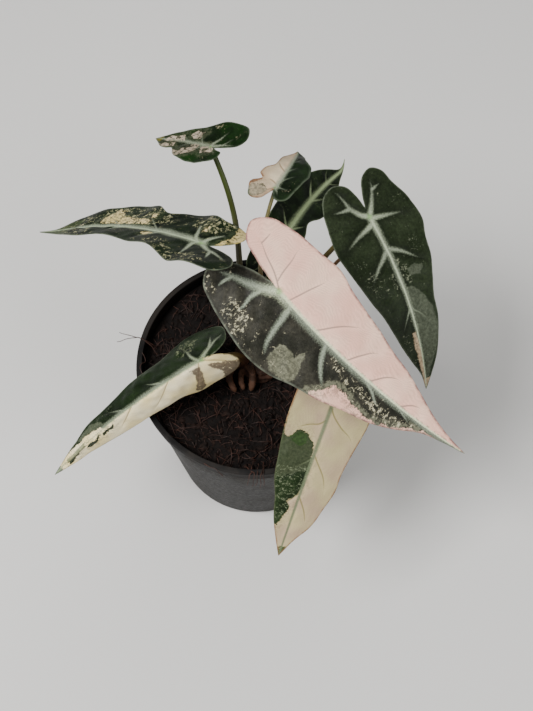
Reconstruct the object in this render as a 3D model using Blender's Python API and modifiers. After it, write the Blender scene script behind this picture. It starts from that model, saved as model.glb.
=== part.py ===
"""Potted alocasia: eight arrow-shaped leaves on stalks, grown in a round nursery pot.

+Z is up and the origin is the middle of the pot's flat base. The broadest leaf
reaches towards +X and -Y. Sizes are in millimetres here and become metres when
the meshes are made.
"""
import math

import bmesh
import bpy
import numpy as np
from mathutils import Matrix, Vector, noise

MM = 0.001
OBJECT_NAME = "potted_alocasia"
GAP = 0.3

# Pot
POT_HEIGHT = 105.0
POT_RIM_RADIUS = 60.0
POT_BASE_RADIUS = 45.0
POT_WALL = 1.5
POT_FLOOR = 2.0
COLLAR_HEIGHT = 10.0
COLLAR_STEP = 1.7
LIP_WIDTH = 1.4
LIP_HEIGHT = 1.8
DRAIN_HOLES = 6
DRAIN_RADIUS = 4.0
DRAIN_CIRCLE = 30.0
POT_STEPS = 48

# Soil
SOIL_EDGE_HEIGHT = 97.0
SOIL_MOUND = 2.0
SOIL_BUMP = 1.0
SOIL_RINGS = (16.0, 22.0, 29.0, 36.0, 43.0, 50.0)

# Crown: the swollen base that all the stalks grow out of
CROWN_CENTRE = (2.0, 4.0)
CROWN_RADIUS = 12.5
CROWN_BOTTOM = 84.0
CROWN_SHOULDER = 102.0
CROWN_TOP = 110.0
SOCKET_HEIGHT = 101.0
OUTER_RING = 9.2
INNER_RING = 3.9
STUBS = (
    ((-7.0, 0.0, 103.5), (-18.0, -4.0, 105.0), (-9.5, -14.5, 101.3), 2.0),
    ((-5.0, -3.0, 103.5), (-9.0, -6.0, 104.5), (-5.6, -13.4, 101.3), 1.7),
    ((-6.0, -1.0, 104.0), (1.0, -4.5, 109.5), (-2.2, -14.2, 101.3), 2.1),
)

# Blades
BLADE_THICKNESS = 0.85
RIB_ROWS = 5
MID_ROWS = 20
OUTER_COLUMNS = 3
INNER_COLUMNS = 2
LOBE_ROUNDNESS = 0.36
# Half widths are given where the rib has run this share of its length.
STATIONS = (0.0, 0.1, 0.2, 0.3, 0.4, 0.5, 0.6, 0.7, 0.8, 0.9)

# Each leaf: where its stalk joins the blade, its tip, the way its upper face looks,
# the rise and the sideways bend of its rib, the fold at the rib and the further curl
# to the margin (degrees, left then right as seen from the stalk to the tip), its half
# widths, its lobes (sideways and backwards to the end, and the half width short of it),
# its margin wave (height, waves, phase), and its hook (how far the last part of the tip
# rises and turns to the right). The stalk has an azimuth and a ring on the crown, the
# radius of its foot and of its top, how upright it leaves the crown (lean), and how
# far it bows over towards the tip (nod).
LEAVES = {
    "big": dict(
        junction=(11.5, 0.0, 180.0), tip=(96.0, -62.5, 140.0), facing=(-0.04, -0.46, 0.89),
        length=112.5, bow=4.5, sway=4.0, lobe_pitch=-6.0, twist=0.0, notch=5.5,
        fold=(4.0, 4.0), curl=(0.0, 0.0), wave=(1.0, 3.0, 0.1), hook=(0.0, 0.0),
        left=(25.0, 26.5, 24.0, 22.0, 20.0, 17.0, 14.5, 10.5, 6.0, 2.5),
        right=(29.5, 30.5, 29.0, 24.5, 21.5, 17.5, 14.5, 9.5, 3.5, 1.2),
        left_lobe=(11.0, 33.0, 22.0), right_lobe=(17.5, 29.5, 27.0),
        azimuth=-45.0, ring=INNER_RING, foot=2.2, top=1.7, lean=0.9, nod=0.5,
        colour=(0.42, 0.33, 0.30)),
    "right": dict(
        junction=(54.0, 44.0, 172.0), tip=(83.5, -20.5, 118.0), facing=(0.26, -0.30, 0.92),
        length=89.0, bow=11.0, sway=-0.5, lobe_pitch=14.0, twist=10.0, notch=4.5,
        fold=(-4.0, 4.0), curl=(0.0, 0.0), wave=(0.8, 2.6, 0.3), hook=(0.0, 0.0),
        left=(24.0, 24.5, 21.0, 19.5, 16.5, 13.5, 12.5, 10.5, 8.0, 4.0),
        right=(23.0, 24.0, 22.5, 20.5, 18.0, 14.5, 12.0, 9.5, 6.0, 2.0),
        left_lobe=(11.5, 21.0, 18.5), right_lobe=(11.0, 19.5, 21.0),
        azimuth=42.0, ring=OUTER_RING, foot=2.0, top=1.15, lean=0.6, nod=0.3,
        colour=(0.045, 0.075, 0.04)),
    "left": dict(
        junction=(-24.0, 22.5, 184.0), tip=(-104.0, 46.5, 152.0), facing=(0.05, 0.51, 0.86),
        length=90.0, bow=5.0, sway=3.0, lobe_pitch=3.0, twist=-3.0, notch=4.5,
        fold=(8.0, 3.0), curl=(0.0, 0.0), wave=(1.6, 3.2, 0.2), hook=(1.5, 0.0),
        left=(25.0, 21.0, 17.5, 17.0, 14.5, 13.0, 12.0, 11.5, 9.0, 3.5),
        right=(20.5, 23.5, 21.0, 16.0, 22.0, 23.0, 17.0, 15.5, 10.0, 1.5),
        left_lobe=(13.5, 25.0, 23.5), right_lobe=(12.5, 15.5, 20.5),
        azimuth=165.0, ring=INNER_RING, foot=1.9, top=1.2, lean=0.5, nod=0.5,
        colour=(0.10, 0.14, 0.07)),
    "lower_left": dict(
        junction=(-25.0, -14.5, 138.0), tip=(-99.0, -55.5, 92.0), facing=(-0.15, -0.39, 0.91),
        length=96.5, bow=6.0, sway=2.5, lobe_pitch=4.0, twist=-16.0, notch=5.0,
        fold=(-45.0, -44.0), curl=(-30.0, -28.0), wave=(0.6, 3.0, 0.0), hook=(0.0, 0.0),
        left=(21.0, 22.0, 17.5, 17.5, 16.0, 15.5, 13.5, 10.5, 7.0, 3.0),
        right=(31.5, 25.5, 19.0, 17.5, 16.0, 12.5, 10.5, 9.5, 5.5, 2.0),
        left_lobe=(11.5, 14.5, 20.0), right_lobe=(12.5, 15.5, 27.5),
        azimuth=215.0, ring=OUTER_RING, foot=1.9, top=1.2, lean=0.9, nod=0.5,
        colour=(0.35, 0.34, 0.22)),
    "front": dict(
        junction=(43.5, -17.5, 136.0), tip=(11.5, -93.5, 82.0), facing=(0.07, -0.59, 0.80),
        length=98.5, bow=6.0, sway=1.5, lobe_pitch=-0.0, twist=4.0, notch=5.0,
        fold=(-7.0, 0.0), curl=(0.0, 0.0), wave=(0.9, 2.8, 0.5), hook=(0.0, 0.0),
        left=(16.5, 19.0, 20.5, 19.5, 17.5, 16.0, 16.0, 13.5, 10.5, 4.5),
        right=(17.0, 18.0, 18.5, 18.5, 17.5, 16.0, 14.5, 11.0, 8.5, 4.5),
        left_lobe=(7.5, 19.0, 15.0), right_lobe=(9.5, 22.0, 16.5),
        azimuth=-62.0, ring=OUTER_RING, foot=2.0, top=1.3, lean=0.2, nod=0.5,
        colour=(0.55, 0.50, 0.38)),
    "top": dict(
        junction=(-19.5, 59.5, 206.0), tip=(-46.0, 75.0, 191.0), facing=(-0.25, 0.25, 0.94),
        length=34.0, bow=0.5, sway=0.5, lobe_pitch=-1.0, twist=-4.0, notch=1.5,
        fold=(4.0, 8.0), curl=(0.0, 0.0), wave=(0.8, 2.0, 0.2), hook=(0.0, 0.0),
        left=(11.5, 11.5, 12.0, 11.5, 10.5, 8.5, 5.0, 5.5, 5.0, 2.5),
        right=(14.5, 13.0, 11.5, 9.5, 8.0, 6.5, 5.0, 4.0, 2.5, 1.2),
        left_lobe=(4.5, 8.0, 10.0), right_lobe=(8.5, 15.5, 16.5),
        azimuth=125.0, ring=OUTER_RING, foot=2.0, top=1.2, lean=-0.3, nod=0.35,
        colour=(0.16, 0.20, 0.10)),
    "small": dict(
        junction=(9.5, 48.5, 190.0), tip=(20.5, 79.5, 172.0), facing=(0.04, 0.13, 0.99),
        length=37.5, bow=4.0, sway=1.5, lobe_pitch=14.0, twist=1.0, notch=2.0,
        fold=(-6.0, 4.0), curl=(0.0, 0.0), wave=(0.8, 2.0, 0.0), hook=(1.5, 0.0),
        left=(12.0, 8.5, 11.0, 10.0, 6.5, 6.0, 6.0, 5.5, 3.5, 2.0),
        right=(9.5, 10.5, 11.0, 11.5, 11.0, 10.0, 7.5, 5.5, 4.5, 3.0),
        left_lobe=(5.5, 11.0, 10.5), right_lobe=(5.5, 8.5, 9.0),
        azimuth=60.0, ring=INNER_RING, foot=1.6, top=0.85, lean=0.0, nod=1.0,
        colour=(0.33, 0.30, 0.20)),
    "back": dict(
        junction=(11.0, 51.5, 130.0), tip=(51.0, 119.5, 104.0), facing=(0.39, -0.10, 0.91),
        length=80.0, bow=2.5, sway=-3.5, lobe_pitch=1.0, twist=-3.0, notch=4.0,
        fold=(10.0, 7.0), curl=(0.0, 0.0), wave=(1.2, 3.0, 0.4), hook=(1.5, -4.5),
        left=(12.0, 13.0, 13.5, 13.5, 13.5, 13.0, 11.5, 9.0, 5.0, 1.2),
        right=(11.5, 11.0, 9.0, 6.5, 10.0, 11.5, 10.5, 8.0, 4.0, 1.2),
        left_lobe=(8.0, 22.5, 12.0), right_lobe=(12.0, 22.5, 14.0),
        azimuth=90.0, ring=OUTER_RING, foot=1.8, top=1.1, lean=0.4, nod=0.5,
        colour=(0.05, 0.09, 0.04)),
}
# A stalk whose leaf was trimmed off; its cut end is under the right leaf.
TRIMMED_STALK = dict(
    end=(47.0, 46.0, 138.0), ahead=(0.6, 0.0, -0.2), azimuth=5.0, ring=OUTER_RING,
    foot=1.7, top=0.9, lean=1.2, nod=0.5)

STALK_POINTS = 13
HOOK_START = 0.86
FOLD_OPENS = 0.8


def unit(vector):
    vector = np.asarray(vector, float)
    return vector / np.linalg.norm(vector, axis=-1, keepdims=True)


def smooth_line(points, count, first=0, last=-1):
    """Evenly spaced points on a smooth curve through the given ones, or on a part of it."""
    points = np.asarray(points, float)
    steps = np.linalg.norm(np.diff(points, axis=0), axis=1)
    knots = np.concatenate([[0.0], np.cumsum(steps)])
    where = np.linspace(knots[first], knots[last], count)
    slopes = np.gradient(points, knots, axis=0)
    span = np.clip(np.searchsorted(knots, where, side="right") - 1, 0, len(steps) - 1)
    width = (knots[span + 1] - knots[span])[:, None]
    u = (where - knots[span])[:, None] / width
    start = (2 * u**3 - 3 * u**2 + 1) * points[span] + (u**3 - 2 * u**2 + u) * width * slopes[span]
    end = (3 * u**2 - 2 * u**3) * points[span + 1] + (u**3 - u**2) * width * slopes[span + 1]
    return start + end


def margin_points(leaf, side):
    """Flat outline of one half: from the notch round the lobe's end to the tip."""
    length, notch, widths = leaf["length"], leaf["notch"], leaf[side]
    across, back, shoulder = leaf[side + "_lobe"]
    bulge = LOBE_ROUNDNESS * widths[0]
    points = [
        (0.0, -notch),
        (0.42 * max(across - bulge, 1.0) + 0.6, -(0.5 * back + 0.3 * notch)),
        (across - 0.72 * bulge, -0.88 * back),
        (across, -back),
        (across + 0.65 * (shoulder - across), -0.86 * back),
        (shoulder, -0.55 * back),
    ]
    points += [(width, share * length) for width, share in zip(widths, STATIONS)]
    return points + [(0.0, length)]


def outer_margin(leaf, side, count):
    """From the end of the lobe to the tip."""
    return smooth_line(margin_points(leaf, side), count, first=3)


def inner_margin(leaf, side, count):
    """From the end of the lobe into the notch."""
    return smooth_line(margin_points(leaf, side), count, last=3)[::-1]


def basal_rib(leaf, side, share):
    """Flat course of the rib inside a lobe, from the lobe's end to the junction."""
    across, back = leaf[side + "_lobe"][:2]
    out = 1.0 - np.asarray(share, float)
    x = across * (1.15 * out - 0.15 * out**2)
    y = -back * (0.72 * out + 0.28 * out**2)
    return np.stack([x, y], -1)


def rib_frame(leaf, share):
    """Points of the rib, its direction and the upward direction, at shares of its length."""
    junction = np.array(leaf["junction"])
    chord = np.array(leaf["tip"]) - junction
    along = unit(chord)
    up = np.array(leaf["facing"])
    up = unit(up - along * (up @ along))
    side = np.cross(along, up)
    bend = up * leaf["bow"] + side * leaf["sway"]
    ahead = np.clip(share, 0.0, None)[..., None]
    centre = junction + chord * ahead + bend * (4.0 * ahead * (1.0 - ahead))
    hook = np.clip((ahead - HOOK_START) / (1.0 - HOOK_START), 0.0, None)
    centre = centre + (up * leaf["hook"][0] + side * leaf["hook"][1]) * hook**2
    direction = unit(chord + bend * (4.0 - 8.0 * ahead))
    start = unit(chord + bend * 4.0)
    start_up = np.cross(unit(np.cross(start, up)), start)
    pitch = math.radians(leaf["lobe_pitch"])
    backwards = math.sin(pitch) * start_up - math.cos(pitch) * start
    behind = np.clip(-share, 0.0, None)[..., None] * leaf["length"]
    centre = centre + backwards * behind
    direction = np.where(behind > 0.0, -backwards, direction)
    turn = np.radians(leaf["twist"]) * np.clip(share, -0.3, 1.0)[..., None]
    upward = up * np.cos(turn) + side * np.sin(turn)
    sideways = unit(np.cross(direction, upward))
    return centre, sideways, np.cross(sideways, direction)


def bend_blade(leaf, side, flat):
    """Carry flat blade points (across, along) onto the bent blade in space."""
    sign = 1.0 if side == "right" else -1.0
    index = 1 if side == "right" else 0
    across = flat[..., 0]
    share = flat[..., 1] / leaf["length"]
    centre, sideways, upward = rib_frame(leaf, share)
    widest = max(leaf[side])
    opening = np.clip((share - FOLD_OPENS) / (1.0 - FOLD_OPENS), 0.0, 1.0)
    start = math.radians(leaf["fold"][index]) * (1.0 - 0.8 * opening)
    rate = math.radians(leaf["curl"][index] or 0.01) / widest
    angle = start + rate * across
    reach = (np.sin(angle) - np.sin(start)) / rate
    rise = (np.cos(start) - np.cos(angle)) / rate
    height, waves, phase = leaf["wave"]
    phase += 0.0 if side == "right" else 0.37
    rise = rise + height * (across / widest) ** 2 * np.sin(2 * math.pi * (waves * share + phase))
    return centre + sideways * (sign * reach)[..., None] + upward * rise[..., None]


def half_blade(leaf, side):
    """Two sheets of points: the rib to the outer margin, and the rib to the notch side."""
    rib_share = np.linspace(0.0, 1.0, RIB_ROWS + 1)
    mid_share = np.linspace(0.0, 1.0, MID_ROWS + 1)[1:]
    lobe_rib = basal_rib(leaf, side, rib_share)
    mid_rib = np.stack([np.zeros(MID_ROWS), leaf["length"] * mid_share], -1)
    spine = np.concatenate([lobe_rib, mid_rib])

    margin = outer_margin(leaf, side, 400)
    shoulder = np.argmax(margin[:, 1] > 0.08 * leaf["length"]) / 399.0
    run = np.concatenate([shoulder * rib_share**0.8, shoulder + (1.0 - shoulder) * mid_share])
    edge = margin[np.round(run * 399).astype(int)]
    column = np.linspace(0.0, 1.0, OUTER_COLUMNS + 1)[None, :, None]
    outer = spine[:, None] + (edge - spine)[:, None] * column

    inner_edge = inner_margin(leaf, side, RIB_ROWS + 1)
    column = np.linspace(0.0, 1.0, INNER_COLUMNS + 1)[None, :, None]
    inner = lobe_rib[:, None] + (inner_edge - lobe_rib)[:, None] * column
    return bend_blade(leaf, side, outer), bend_blade(leaf, side, inner)


def add_sheet(mesh, points):
    """Lay a grid primitive over an array of points."""
    rows, columns = points.shape[:2]
    grid = bmesh.ops.create_grid(mesh, x_segments=rows - 1, y_segments=columns - 1, size=1.0)
    for vertex in grid["verts"]:
        row = round((vertex.co.x + 1.0) / 2.0 * (rows - 1))
        column = round((vertex.co.y + 1.0) / 2.0 * (columns - 1))
        vertex.co = Vector(points[row, column]) * MM


def make_blade(name, leaf, collection):
    sheet = bmesh.new()
    for side in ("left", "right"):
        for points in half_blade(leaf, side):
            add_sheet(sheet, points)
    bmesh.ops.remove_doubles(sheet, verts=sheet.verts, dist=0.02 * MM)
    bmesh.ops.recalc_face_normals(sheet, faces=sheet.faces)
    facing = Vector(leaf["facing"])
    if sum(face.normal.dot(facing) * face.calc_area() for face in sheet.faces) < 0.0:
        bmesh.ops.reverse_faces(sheet, faces=sheet.faces)
    blade = object_from(sheet, "leaf_" + name, collection)
    blade.modifiers.new("Triangles", "TRIANGULATE")
    shell = blade.modifiers.new("Thickness", "SOLIDIFY")
    shell.thickness = BLADE_THICKNESS * MM
    shell.offset = -1.0
    shell.use_even_offset = False
    blade.data.shade_smooth()
    set_material(blade, leaf["colour"], 0.45)
    return blade


def stalk_foot(stalk):
    """Foot of a stalk in its socket on the crown."""
    angle = math.radians(stalk["azimuth"])
    x = CROWN_CENTRE[0] + stalk["ring"] * math.cos(angle)
    y = CROWN_CENTRE[1] + stalk["ring"] * math.sin(angle)
    return np.array([x, y, SOCKET_HEIGHT])


def stalk_line(stalk, end, ahead, upward=None, droop=0.0):
    """Smooth course of a stalk: up out of the crown, then over towards its blade.

    Under a blade it stops just clear of the underside, which droops by an angle on
    both sides of the rib.
    """
    foot = stalk_foot(stalk)
    arrive = unit(unit(end - foot) + stalk["nod"] * ahead)
    if upward is not None:
        slant = math.sqrt(1.0 - (arrive @ upward)**2)
        depth = (BLADE_THICKNESS + GAP + stalk["top"] * slant) / math.cos(droop)
        end = end - upward * (depth + stalk["top"] * math.sin(droop))
    chord = end - foot
    reach = 0.4 * np.linalg.norm(chord)
    leave = unit(unit(chord) + np.array([0.0, 0.0, stalk["lean"]]))
    start = foot + np.array([0.0, 0.0, 9.0])
    t = np.linspace(0.0, 1.0, STALK_POINTS - 1)[:, None]
    near = start + leave * reach
    far = end - arrive * reach
    course = (1 - t)**3 * start + 3 * (1 - t)**2 * t * near + 3 * (1 - t) * t**2 * far + t**3 * end
    return np.concatenate([foot[None], course])


def leaf_stalk_line(leaf):
    """Course of the stalk that carries a leaf."""
    centre, sideways, upward = rib_frame(leaf, np.array([0.0]))
    ahead = np.cross(upward[0], sideways[0])
    droop = math.radians(max(0.0, -min(leaf["fold"])))
    return stalk_line(leaf, centre[0], ahead, upward[0], droop)


def make_stalk(name, line, foot_radius, top_radius, collection):
    curve = bpy.data.curves.new(name, "CURVE")
    curve.dimensions = "3D"
    curve.bevel_depth = MM
    curve.bevel_resolution = 2
    curve.use_fill_caps = True
    spline = curve.splines.new("POLY")
    spline.points.add(len(line) - 1)
    for index, (point, place) in enumerate(zip(spline.points, line)):
        share = max(0.0, (index - 1) / (len(line) - 2))
        point.co = (*(place * MM), 1.0)
        point.radius = foot_radius + (top_radius - foot_radius) * share**0.6
    stalk = bpy.data.objects.new(name, curve)
    collection.objects.link(stalk)
    set_material(stalk, (0.16, 0.17, 0.07), 0.5)
    return stalk


def object_from(mesh_data, name, collection):
    mesh = bpy.data.meshes.new(name)
    mesh_data.to_mesh(mesh)
    mesh_data.free()
    made = bpy.data.objects.new(name, mesh)
    collection.objects.link(made)
    return made


def set_material(made, colour, roughness):
    material = bpy.data.materials.new(made.name)
    material.use_nodes = True
    shader = material.node_tree.nodes["Principled BSDF"]
    shader.inputs["Base Color"].default_value = (*colour, 1.0)
    shader.inputs["Roughness"].default_value = roughness
    shader.inputs["Metallic"].default_value = 0.0
    made.data.materials.append(material)


def turned(name, profile, steps, collection):
    """Turn a profile of (radius, height) points about the Z axis."""
    outline = bmesh.new()
    points = [outline.verts.new((radius * MM, 0.0, height * MM)) for radius, height in profile]
    for first, second in zip(points, points[1:]):
        outline.edges.new((first, second))
    made = object_from(outline, name, collection)
    screw = made.modifiers.new("Turn", "SCREW")
    screw.steps = steps
    screw.render_steps = steps
    screw.use_merge_vertices = True
    screw.merge_threshold = 0.00002
    return made


def cylinder(name, radius, start, end, collection, sides=24):
    """A straight round bar between two points."""
    start = Vector(start) * MM
    end = Vector(end) * MM
    axis = end - start
    bar = bmesh.new()
    bmesh.ops.create_cone(bar, cap_ends=True, segments=sides, radius1=radius * MM,
                          radius2=radius * MM, depth=axis.length)
    turn = axis.to_track_quat("Z", "Y").to_matrix().to_4x4()
    bmesh.ops.transform(bar, matrix=Matrix.Translation((start + end) / 2) @ turn, verts=bar.verts)
    return object_from(bar, name, collection)


def guide(made):
    made.display_type = "WIRE"
    made.hide_render = True
    return made


def boolean(made, other, operation):
    change = made.modifiers.new(other.name, "BOOLEAN")
    change.object = other
    change.operation = operation
    change.solver = "EXACT"


def wall_radius(height):
    """Outer radius of the pot's tapered wall."""
    collar_foot = POT_HEIGHT - COLLAR_HEIGHT
    top = POT_RIM_RADIUS - LIP_WIDTH - COLLAR_STEP
    return POT_BASE_RADIUS + (top - POT_BASE_RADIUS) * height / collar_foot


def make_pot(collection, cutters):
    collar_foot = POT_HEIGHT - COLLAR_HEIGHT
    collar = POT_RIM_RADIUS - LIP_WIDTH
    wall_top = wall_radius(collar_foot)
    lip_foot = POT_HEIGHT - LIP_HEIGHT
    profile = [
        (0.0, POT_FLOOR),
        (wall_radius(POT_FLOOR) - POT_WALL - 1.0, POT_FLOOR),
        (wall_radius(POT_FLOOR + 1.5) - POT_WALL, POT_FLOOR + 1.5),
        (wall_top - POT_WALL, collar_foot - 1.0),
        (collar - POT_WALL, collar_foot + 1.0),
        (collar - POT_WALL, POT_HEIGHT - 0.5),
        (collar - POT_WALL + 0.5, POT_HEIGHT),
        (POT_RIM_RADIUS - 0.5, POT_HEIGHT),
        (POT_RIM_RADIUS, POT_HEIGHT - 0.5),
        (POT_RIM_RADIUS, lip_foot),
        (collar, lip_foot - 0.6),
        (collar, collar_foot),
        (wall_top, collar_foot - 0.6),
        (wall_radius(2.0), 2.0),
        (POT_BASE_RADIUS - 1.6, 0.0),
        (0.0, 0.0),
    ]
    pot = turned("pot", profile, POT_STEPS, collection)
    for index in range(DRAIN_HOLES):
        angle = 2 * math.pi * (index + 0.5) / DRAIN_HOLES
        x = DRAIN_CIRCLE * math.cos(angle)
        y = DRAIN_CIRCLE * math.sin(angle)
        hole = cylinder(f"drain_{index}", DRAIN_RADIUS, (x, y, -2), (x, y, 4), cutters, 16)
        boolean(pot, guide(hole), "DIFFERENCE")
    set_material(pot, (0.012, 0.012, 0.013), 0.5)
    return pot


def make_soil(collection, cutters):
    """Soil body that fills the pot, with an uneven mounded top around the crown."""
    collar_foot = POT_HEIGHT - COLLAR_HEIGHT
    edge = POT_RIM_RADIUS - LIP_WIDTH - POT_WALL - GAP
    side_top = wall_radius(collar_foot) - POT_WALL - GAP
    side_foot = wall_radius(POT_FLOOR + 2.0) - POT_WALL - GAP
    profile = [(0.0, SOIL_EDGE_HEIGHT + SOIL_MOUND)]
    for radius in SOIL_RINGS:
        profile.append((radius, SOIL_EDGE_HEIGHT + SOIL_MOUND * (1.0 - (radius / edge)**2)))
    profile += [
        (edge, SOIL_EDGE_HEIGHT),
        (edge, collar_foot + 1.2),
        (side_top, collar_foot - 0.8 - GAP),
        (side_foot, POT_FLOOR + 2.0),
        (side_foot - 2.0, POT_FLOOR + GAP),
        (0.0, POT_FLOOR + GAP),
    ]
    body = bmesh.new()
    points = [body.verts.new((radius * MM, 0.0, height * MM)) for radius, height in profile]
    edges = [body.edges.new(pair) for pair in zip(points, points[1:])]
    bmesh.ops.spin(body, geom=points + edges, axis=(0, 0, 1), cent=(0, 0, 0),
                   angle=2 * math.pi, steps=POT_STEPS, use_merge=True)
    bmesh.ops.remove_doubles(body, verts=body.verts, dist=0.01 * MM)
    bmesh.ops.recalc_face_normals(body, faces=body.faces)
    for vertex in body.verts:
        radius = math.hypot(vertex.co.x, vertex.co.y) / MM
        if vertex.co.z > SOIL_EDGE_HEIGHT * MM and 20.0 < radius < edge - 3.0:
            vertex.co.z += SOIL_BUMP * MM * noise.noise(vertex.co / (11 * MM))
    soil = object_from(body, "soil", collection)
    x, y = CROWN_CENTRE
    hole = cylinder("crown_hole", CROWN_RADIUS + GAP, (x, y, CROWN_BOTTOM - GAP), (x, y, 120),
                    cutters, 32)
    boolean(soil, guide(hole), "DIFFERENCE")
    set_material(soil, (0.03, 0.018, 0.012), 0.9)
    return soil


def make_stub(index, start, bend, end, radius, cutters):
    """Short curved stub of an old stalk, as a closed tapered bar."""
    t = np.linspace(0.0, 1.0, 6)[:, None]
    course = (1 - t)**2 * np.array(start) + 2 * (1 - t) * t * np.array(bend) + t**2 * np.array(end)
    curve_object = make_stalk(f"stub_{index}", course, radius, radius * 0.8, cutters)
    curve_object.data.splines[0].points[-1].radius = radius * 0.55
    graph = bpy.context.evaluated_depsgraph_get()
    mesh = bpy.data.meshes.new_from_object(curve_object.evaluated_get(graph))
    welded = bmesh.new()
    welded.from_mesh(mesh)
    bmesh.ops.remove_doubles(welded, verts=welded.verts, dist=0.01 * MM)
    bmesh.ops.recalc_face_normals(welded, faces=welded.faces)
    bpy.data.objects.remove(curve_object)
    bpy.data.meshes.remove(mesh)
    return object_from(welded, f"stub_{index}", cutters)


def make_crown(stalks, collection, cutters):
    """Domed crown with a plain round socket for the foot of each stalk."""
    profile = [(0.0, CROWN_TOP)]
    for step in range(1, 7):
        angle = math.radians(15.0 * step)
        radius = CROWN_RADIUS * math.sin(angle)
        profile.append((radius, CROWN_SHOULDER + (CROWN_TOP - CROWN_SHOULDER) * math.cos(angle)))
    profile += [(CROWN_RADIUS, CROWN_BOTTOM + 3.0), (CROWN_RADIUS - 3.0, CROWN_BOTTOM)]
    profile.append((0.0, CROWN_BOTTOM))
    crown = turned("crown", profile, 32, collection)
    crown.location = (CROWN_CENTRE[0] * MM, CROWN_CENTRE[1] * MM, 0.0)
    for index, (start, bend, end, radius) in enumerate(STUBS):
        stub = make_stub(index, start, bend, end, radius, cutters)
        boolean(crown, guide(stub), "UNION")
    for name, stalk in stalks.items():
        foot = stalk_foot(stalk)
        socket = cylinder("socket_" + name, stalk["foot"] + GAP, foot - (0, 0, GAP),
                          foot + (0, 0, 20), cutters, 16)
        boolean(crown, guide(socket), "DIFFERENCE")
    set_material(crown, (0.13, 0.07, 0.045), 0.6)
    return crown


def build():
    for existing in list(bpy.data.objects):
        bpy.data.objects.remove(existing)
    collection = bpy.data.collections.new(OBJECT_NAME)
    cutters = bpy.data.collections.new("cutters")
    bpy.context.scene.collection.children.link(collection)
    bpy.context.scene.collection.children.link(cutters)

    make_pot(collection, cutters)
    make_soil(collection, cutters)
    make_crown({**LEAVES, "trimmed": TRIMMED_STALK}, collection, cutters)
    for name, leaf in LEAVES.items():
        make_blade(name, leaf, collection)
        line = leaf_stalk_line(leaf)
        make_stalk("petiole_" + name, line, leaf["foot"], leaf["top"], collection)
    end = np.array(TRIMMED_STALK["end"])
    line = stalk_line(TRIMMED_STALK, end, np.array(TRIMMED_STALK["ahead"]))
    make_stalk("petiole_trimmed", line, TRIMMED_STALK["foot"], TRIMMED_STALK["top"], collection)
    bpy.context.view_layer.update()


build()
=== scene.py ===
import math

import bpy
import numpy as np
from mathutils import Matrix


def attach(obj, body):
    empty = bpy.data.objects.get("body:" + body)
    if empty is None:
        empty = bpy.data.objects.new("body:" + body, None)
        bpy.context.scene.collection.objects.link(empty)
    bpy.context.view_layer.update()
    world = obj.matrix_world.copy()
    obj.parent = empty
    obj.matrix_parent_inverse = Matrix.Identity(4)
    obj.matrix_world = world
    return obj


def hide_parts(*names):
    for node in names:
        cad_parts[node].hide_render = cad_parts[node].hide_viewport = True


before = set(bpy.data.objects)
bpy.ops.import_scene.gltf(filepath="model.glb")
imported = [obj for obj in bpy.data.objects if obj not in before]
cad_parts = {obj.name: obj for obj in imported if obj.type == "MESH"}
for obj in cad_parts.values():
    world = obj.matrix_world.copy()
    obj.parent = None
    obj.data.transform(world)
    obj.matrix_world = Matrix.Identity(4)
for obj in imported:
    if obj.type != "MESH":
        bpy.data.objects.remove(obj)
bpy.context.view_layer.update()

mm = 0.001
scene = bpy.context.scene
up = np.array([0.0, 0.0, 1.0])


# ---- shapes: small tools that every piece uses; points are in millimetres

def unit(vectors):
    return vectors / np.maximum(np.linalg.norm(vectors, axis=-1, keepdims=True), 1e-9)


def smoothStep(value, low, high):
    share = np.clip((value - low) / (high - low), 0.0, 1.0)
    return share * share * (3.0 - 2.0 * share)


def ripple(points, size, seed, waves=20):
    # Uneven bumps, about -1 to 1: a sum of cosine waves in random directions, near one wavelength.
    picks = np.random.default_rng(seed)
    directions = unit(picks.normal(size=(waves, points.shape[-1])))
    lengths = size * picks.uniform(0.6, 1.7, (waves, 1))
    phases = picks.uniform(0.0, 2 * math.pi, waves)
    return np.cos(points @ (directions / lengths).T * 2 * math.pi + phases).sum(-1) / math.sqrt(waves)


def smoothLine(points, count, first=0, last=-1):
    # Cubic Hermite curve through the points, with slopes from their neighbours, at even steps
    # from one of the points to another.
    points = np.asarray(points, float)
    steps = np.linalg.norm(np.diff(points, axis=0), axis=1)
    knots = np.concatenate([[0.0], np.cumsum(steps)])
    places = np.linspace(knots[first], knots[last], count)
    slopes = np.gradient(points, knots, axis=0)
    span = np.clip(np.searchsorted(knots, places, side="right") - 1, 0, len(steps) - 1)
    width = (knots[span + 1] - knots[span])[:, None]
    u = (places - knots[span])[:, None] / width
    start = (2 * u**3 - 3 * u**2 + 1) * points[span] + (u**3 - 2 * u**2 + u) * width * slopes[span]
    end = (3 * u**2 - 2 * u**3) * points[span + 1] + (u**3 - u**2) * width * slopes[span + 1]
    return start + end


def gridTriangles(rows, columns, closed=False):
    # Two triangles to a cell of a grid of points; closed joins the last column to the first.
    r, c = np.meshgrid(np.arange(rows - 1), np.arange(columns - (0 if closed else 1)), indexing="ij")
    near, far = r * columns, (r + 1) * columns
    nextColumn = (c + 1) % columns
    corners = [near + c, near + nextColumn, far + nextColumn, far + c]
    first = np.stack([corners[0], corners[1], corners[2]], -1)
    second = np.stack([corners[0], corners[2], corners[3]], -1)
    return np.concatenate([first.reshape(-1, 3), second.reshape(-1, 3)])


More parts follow.
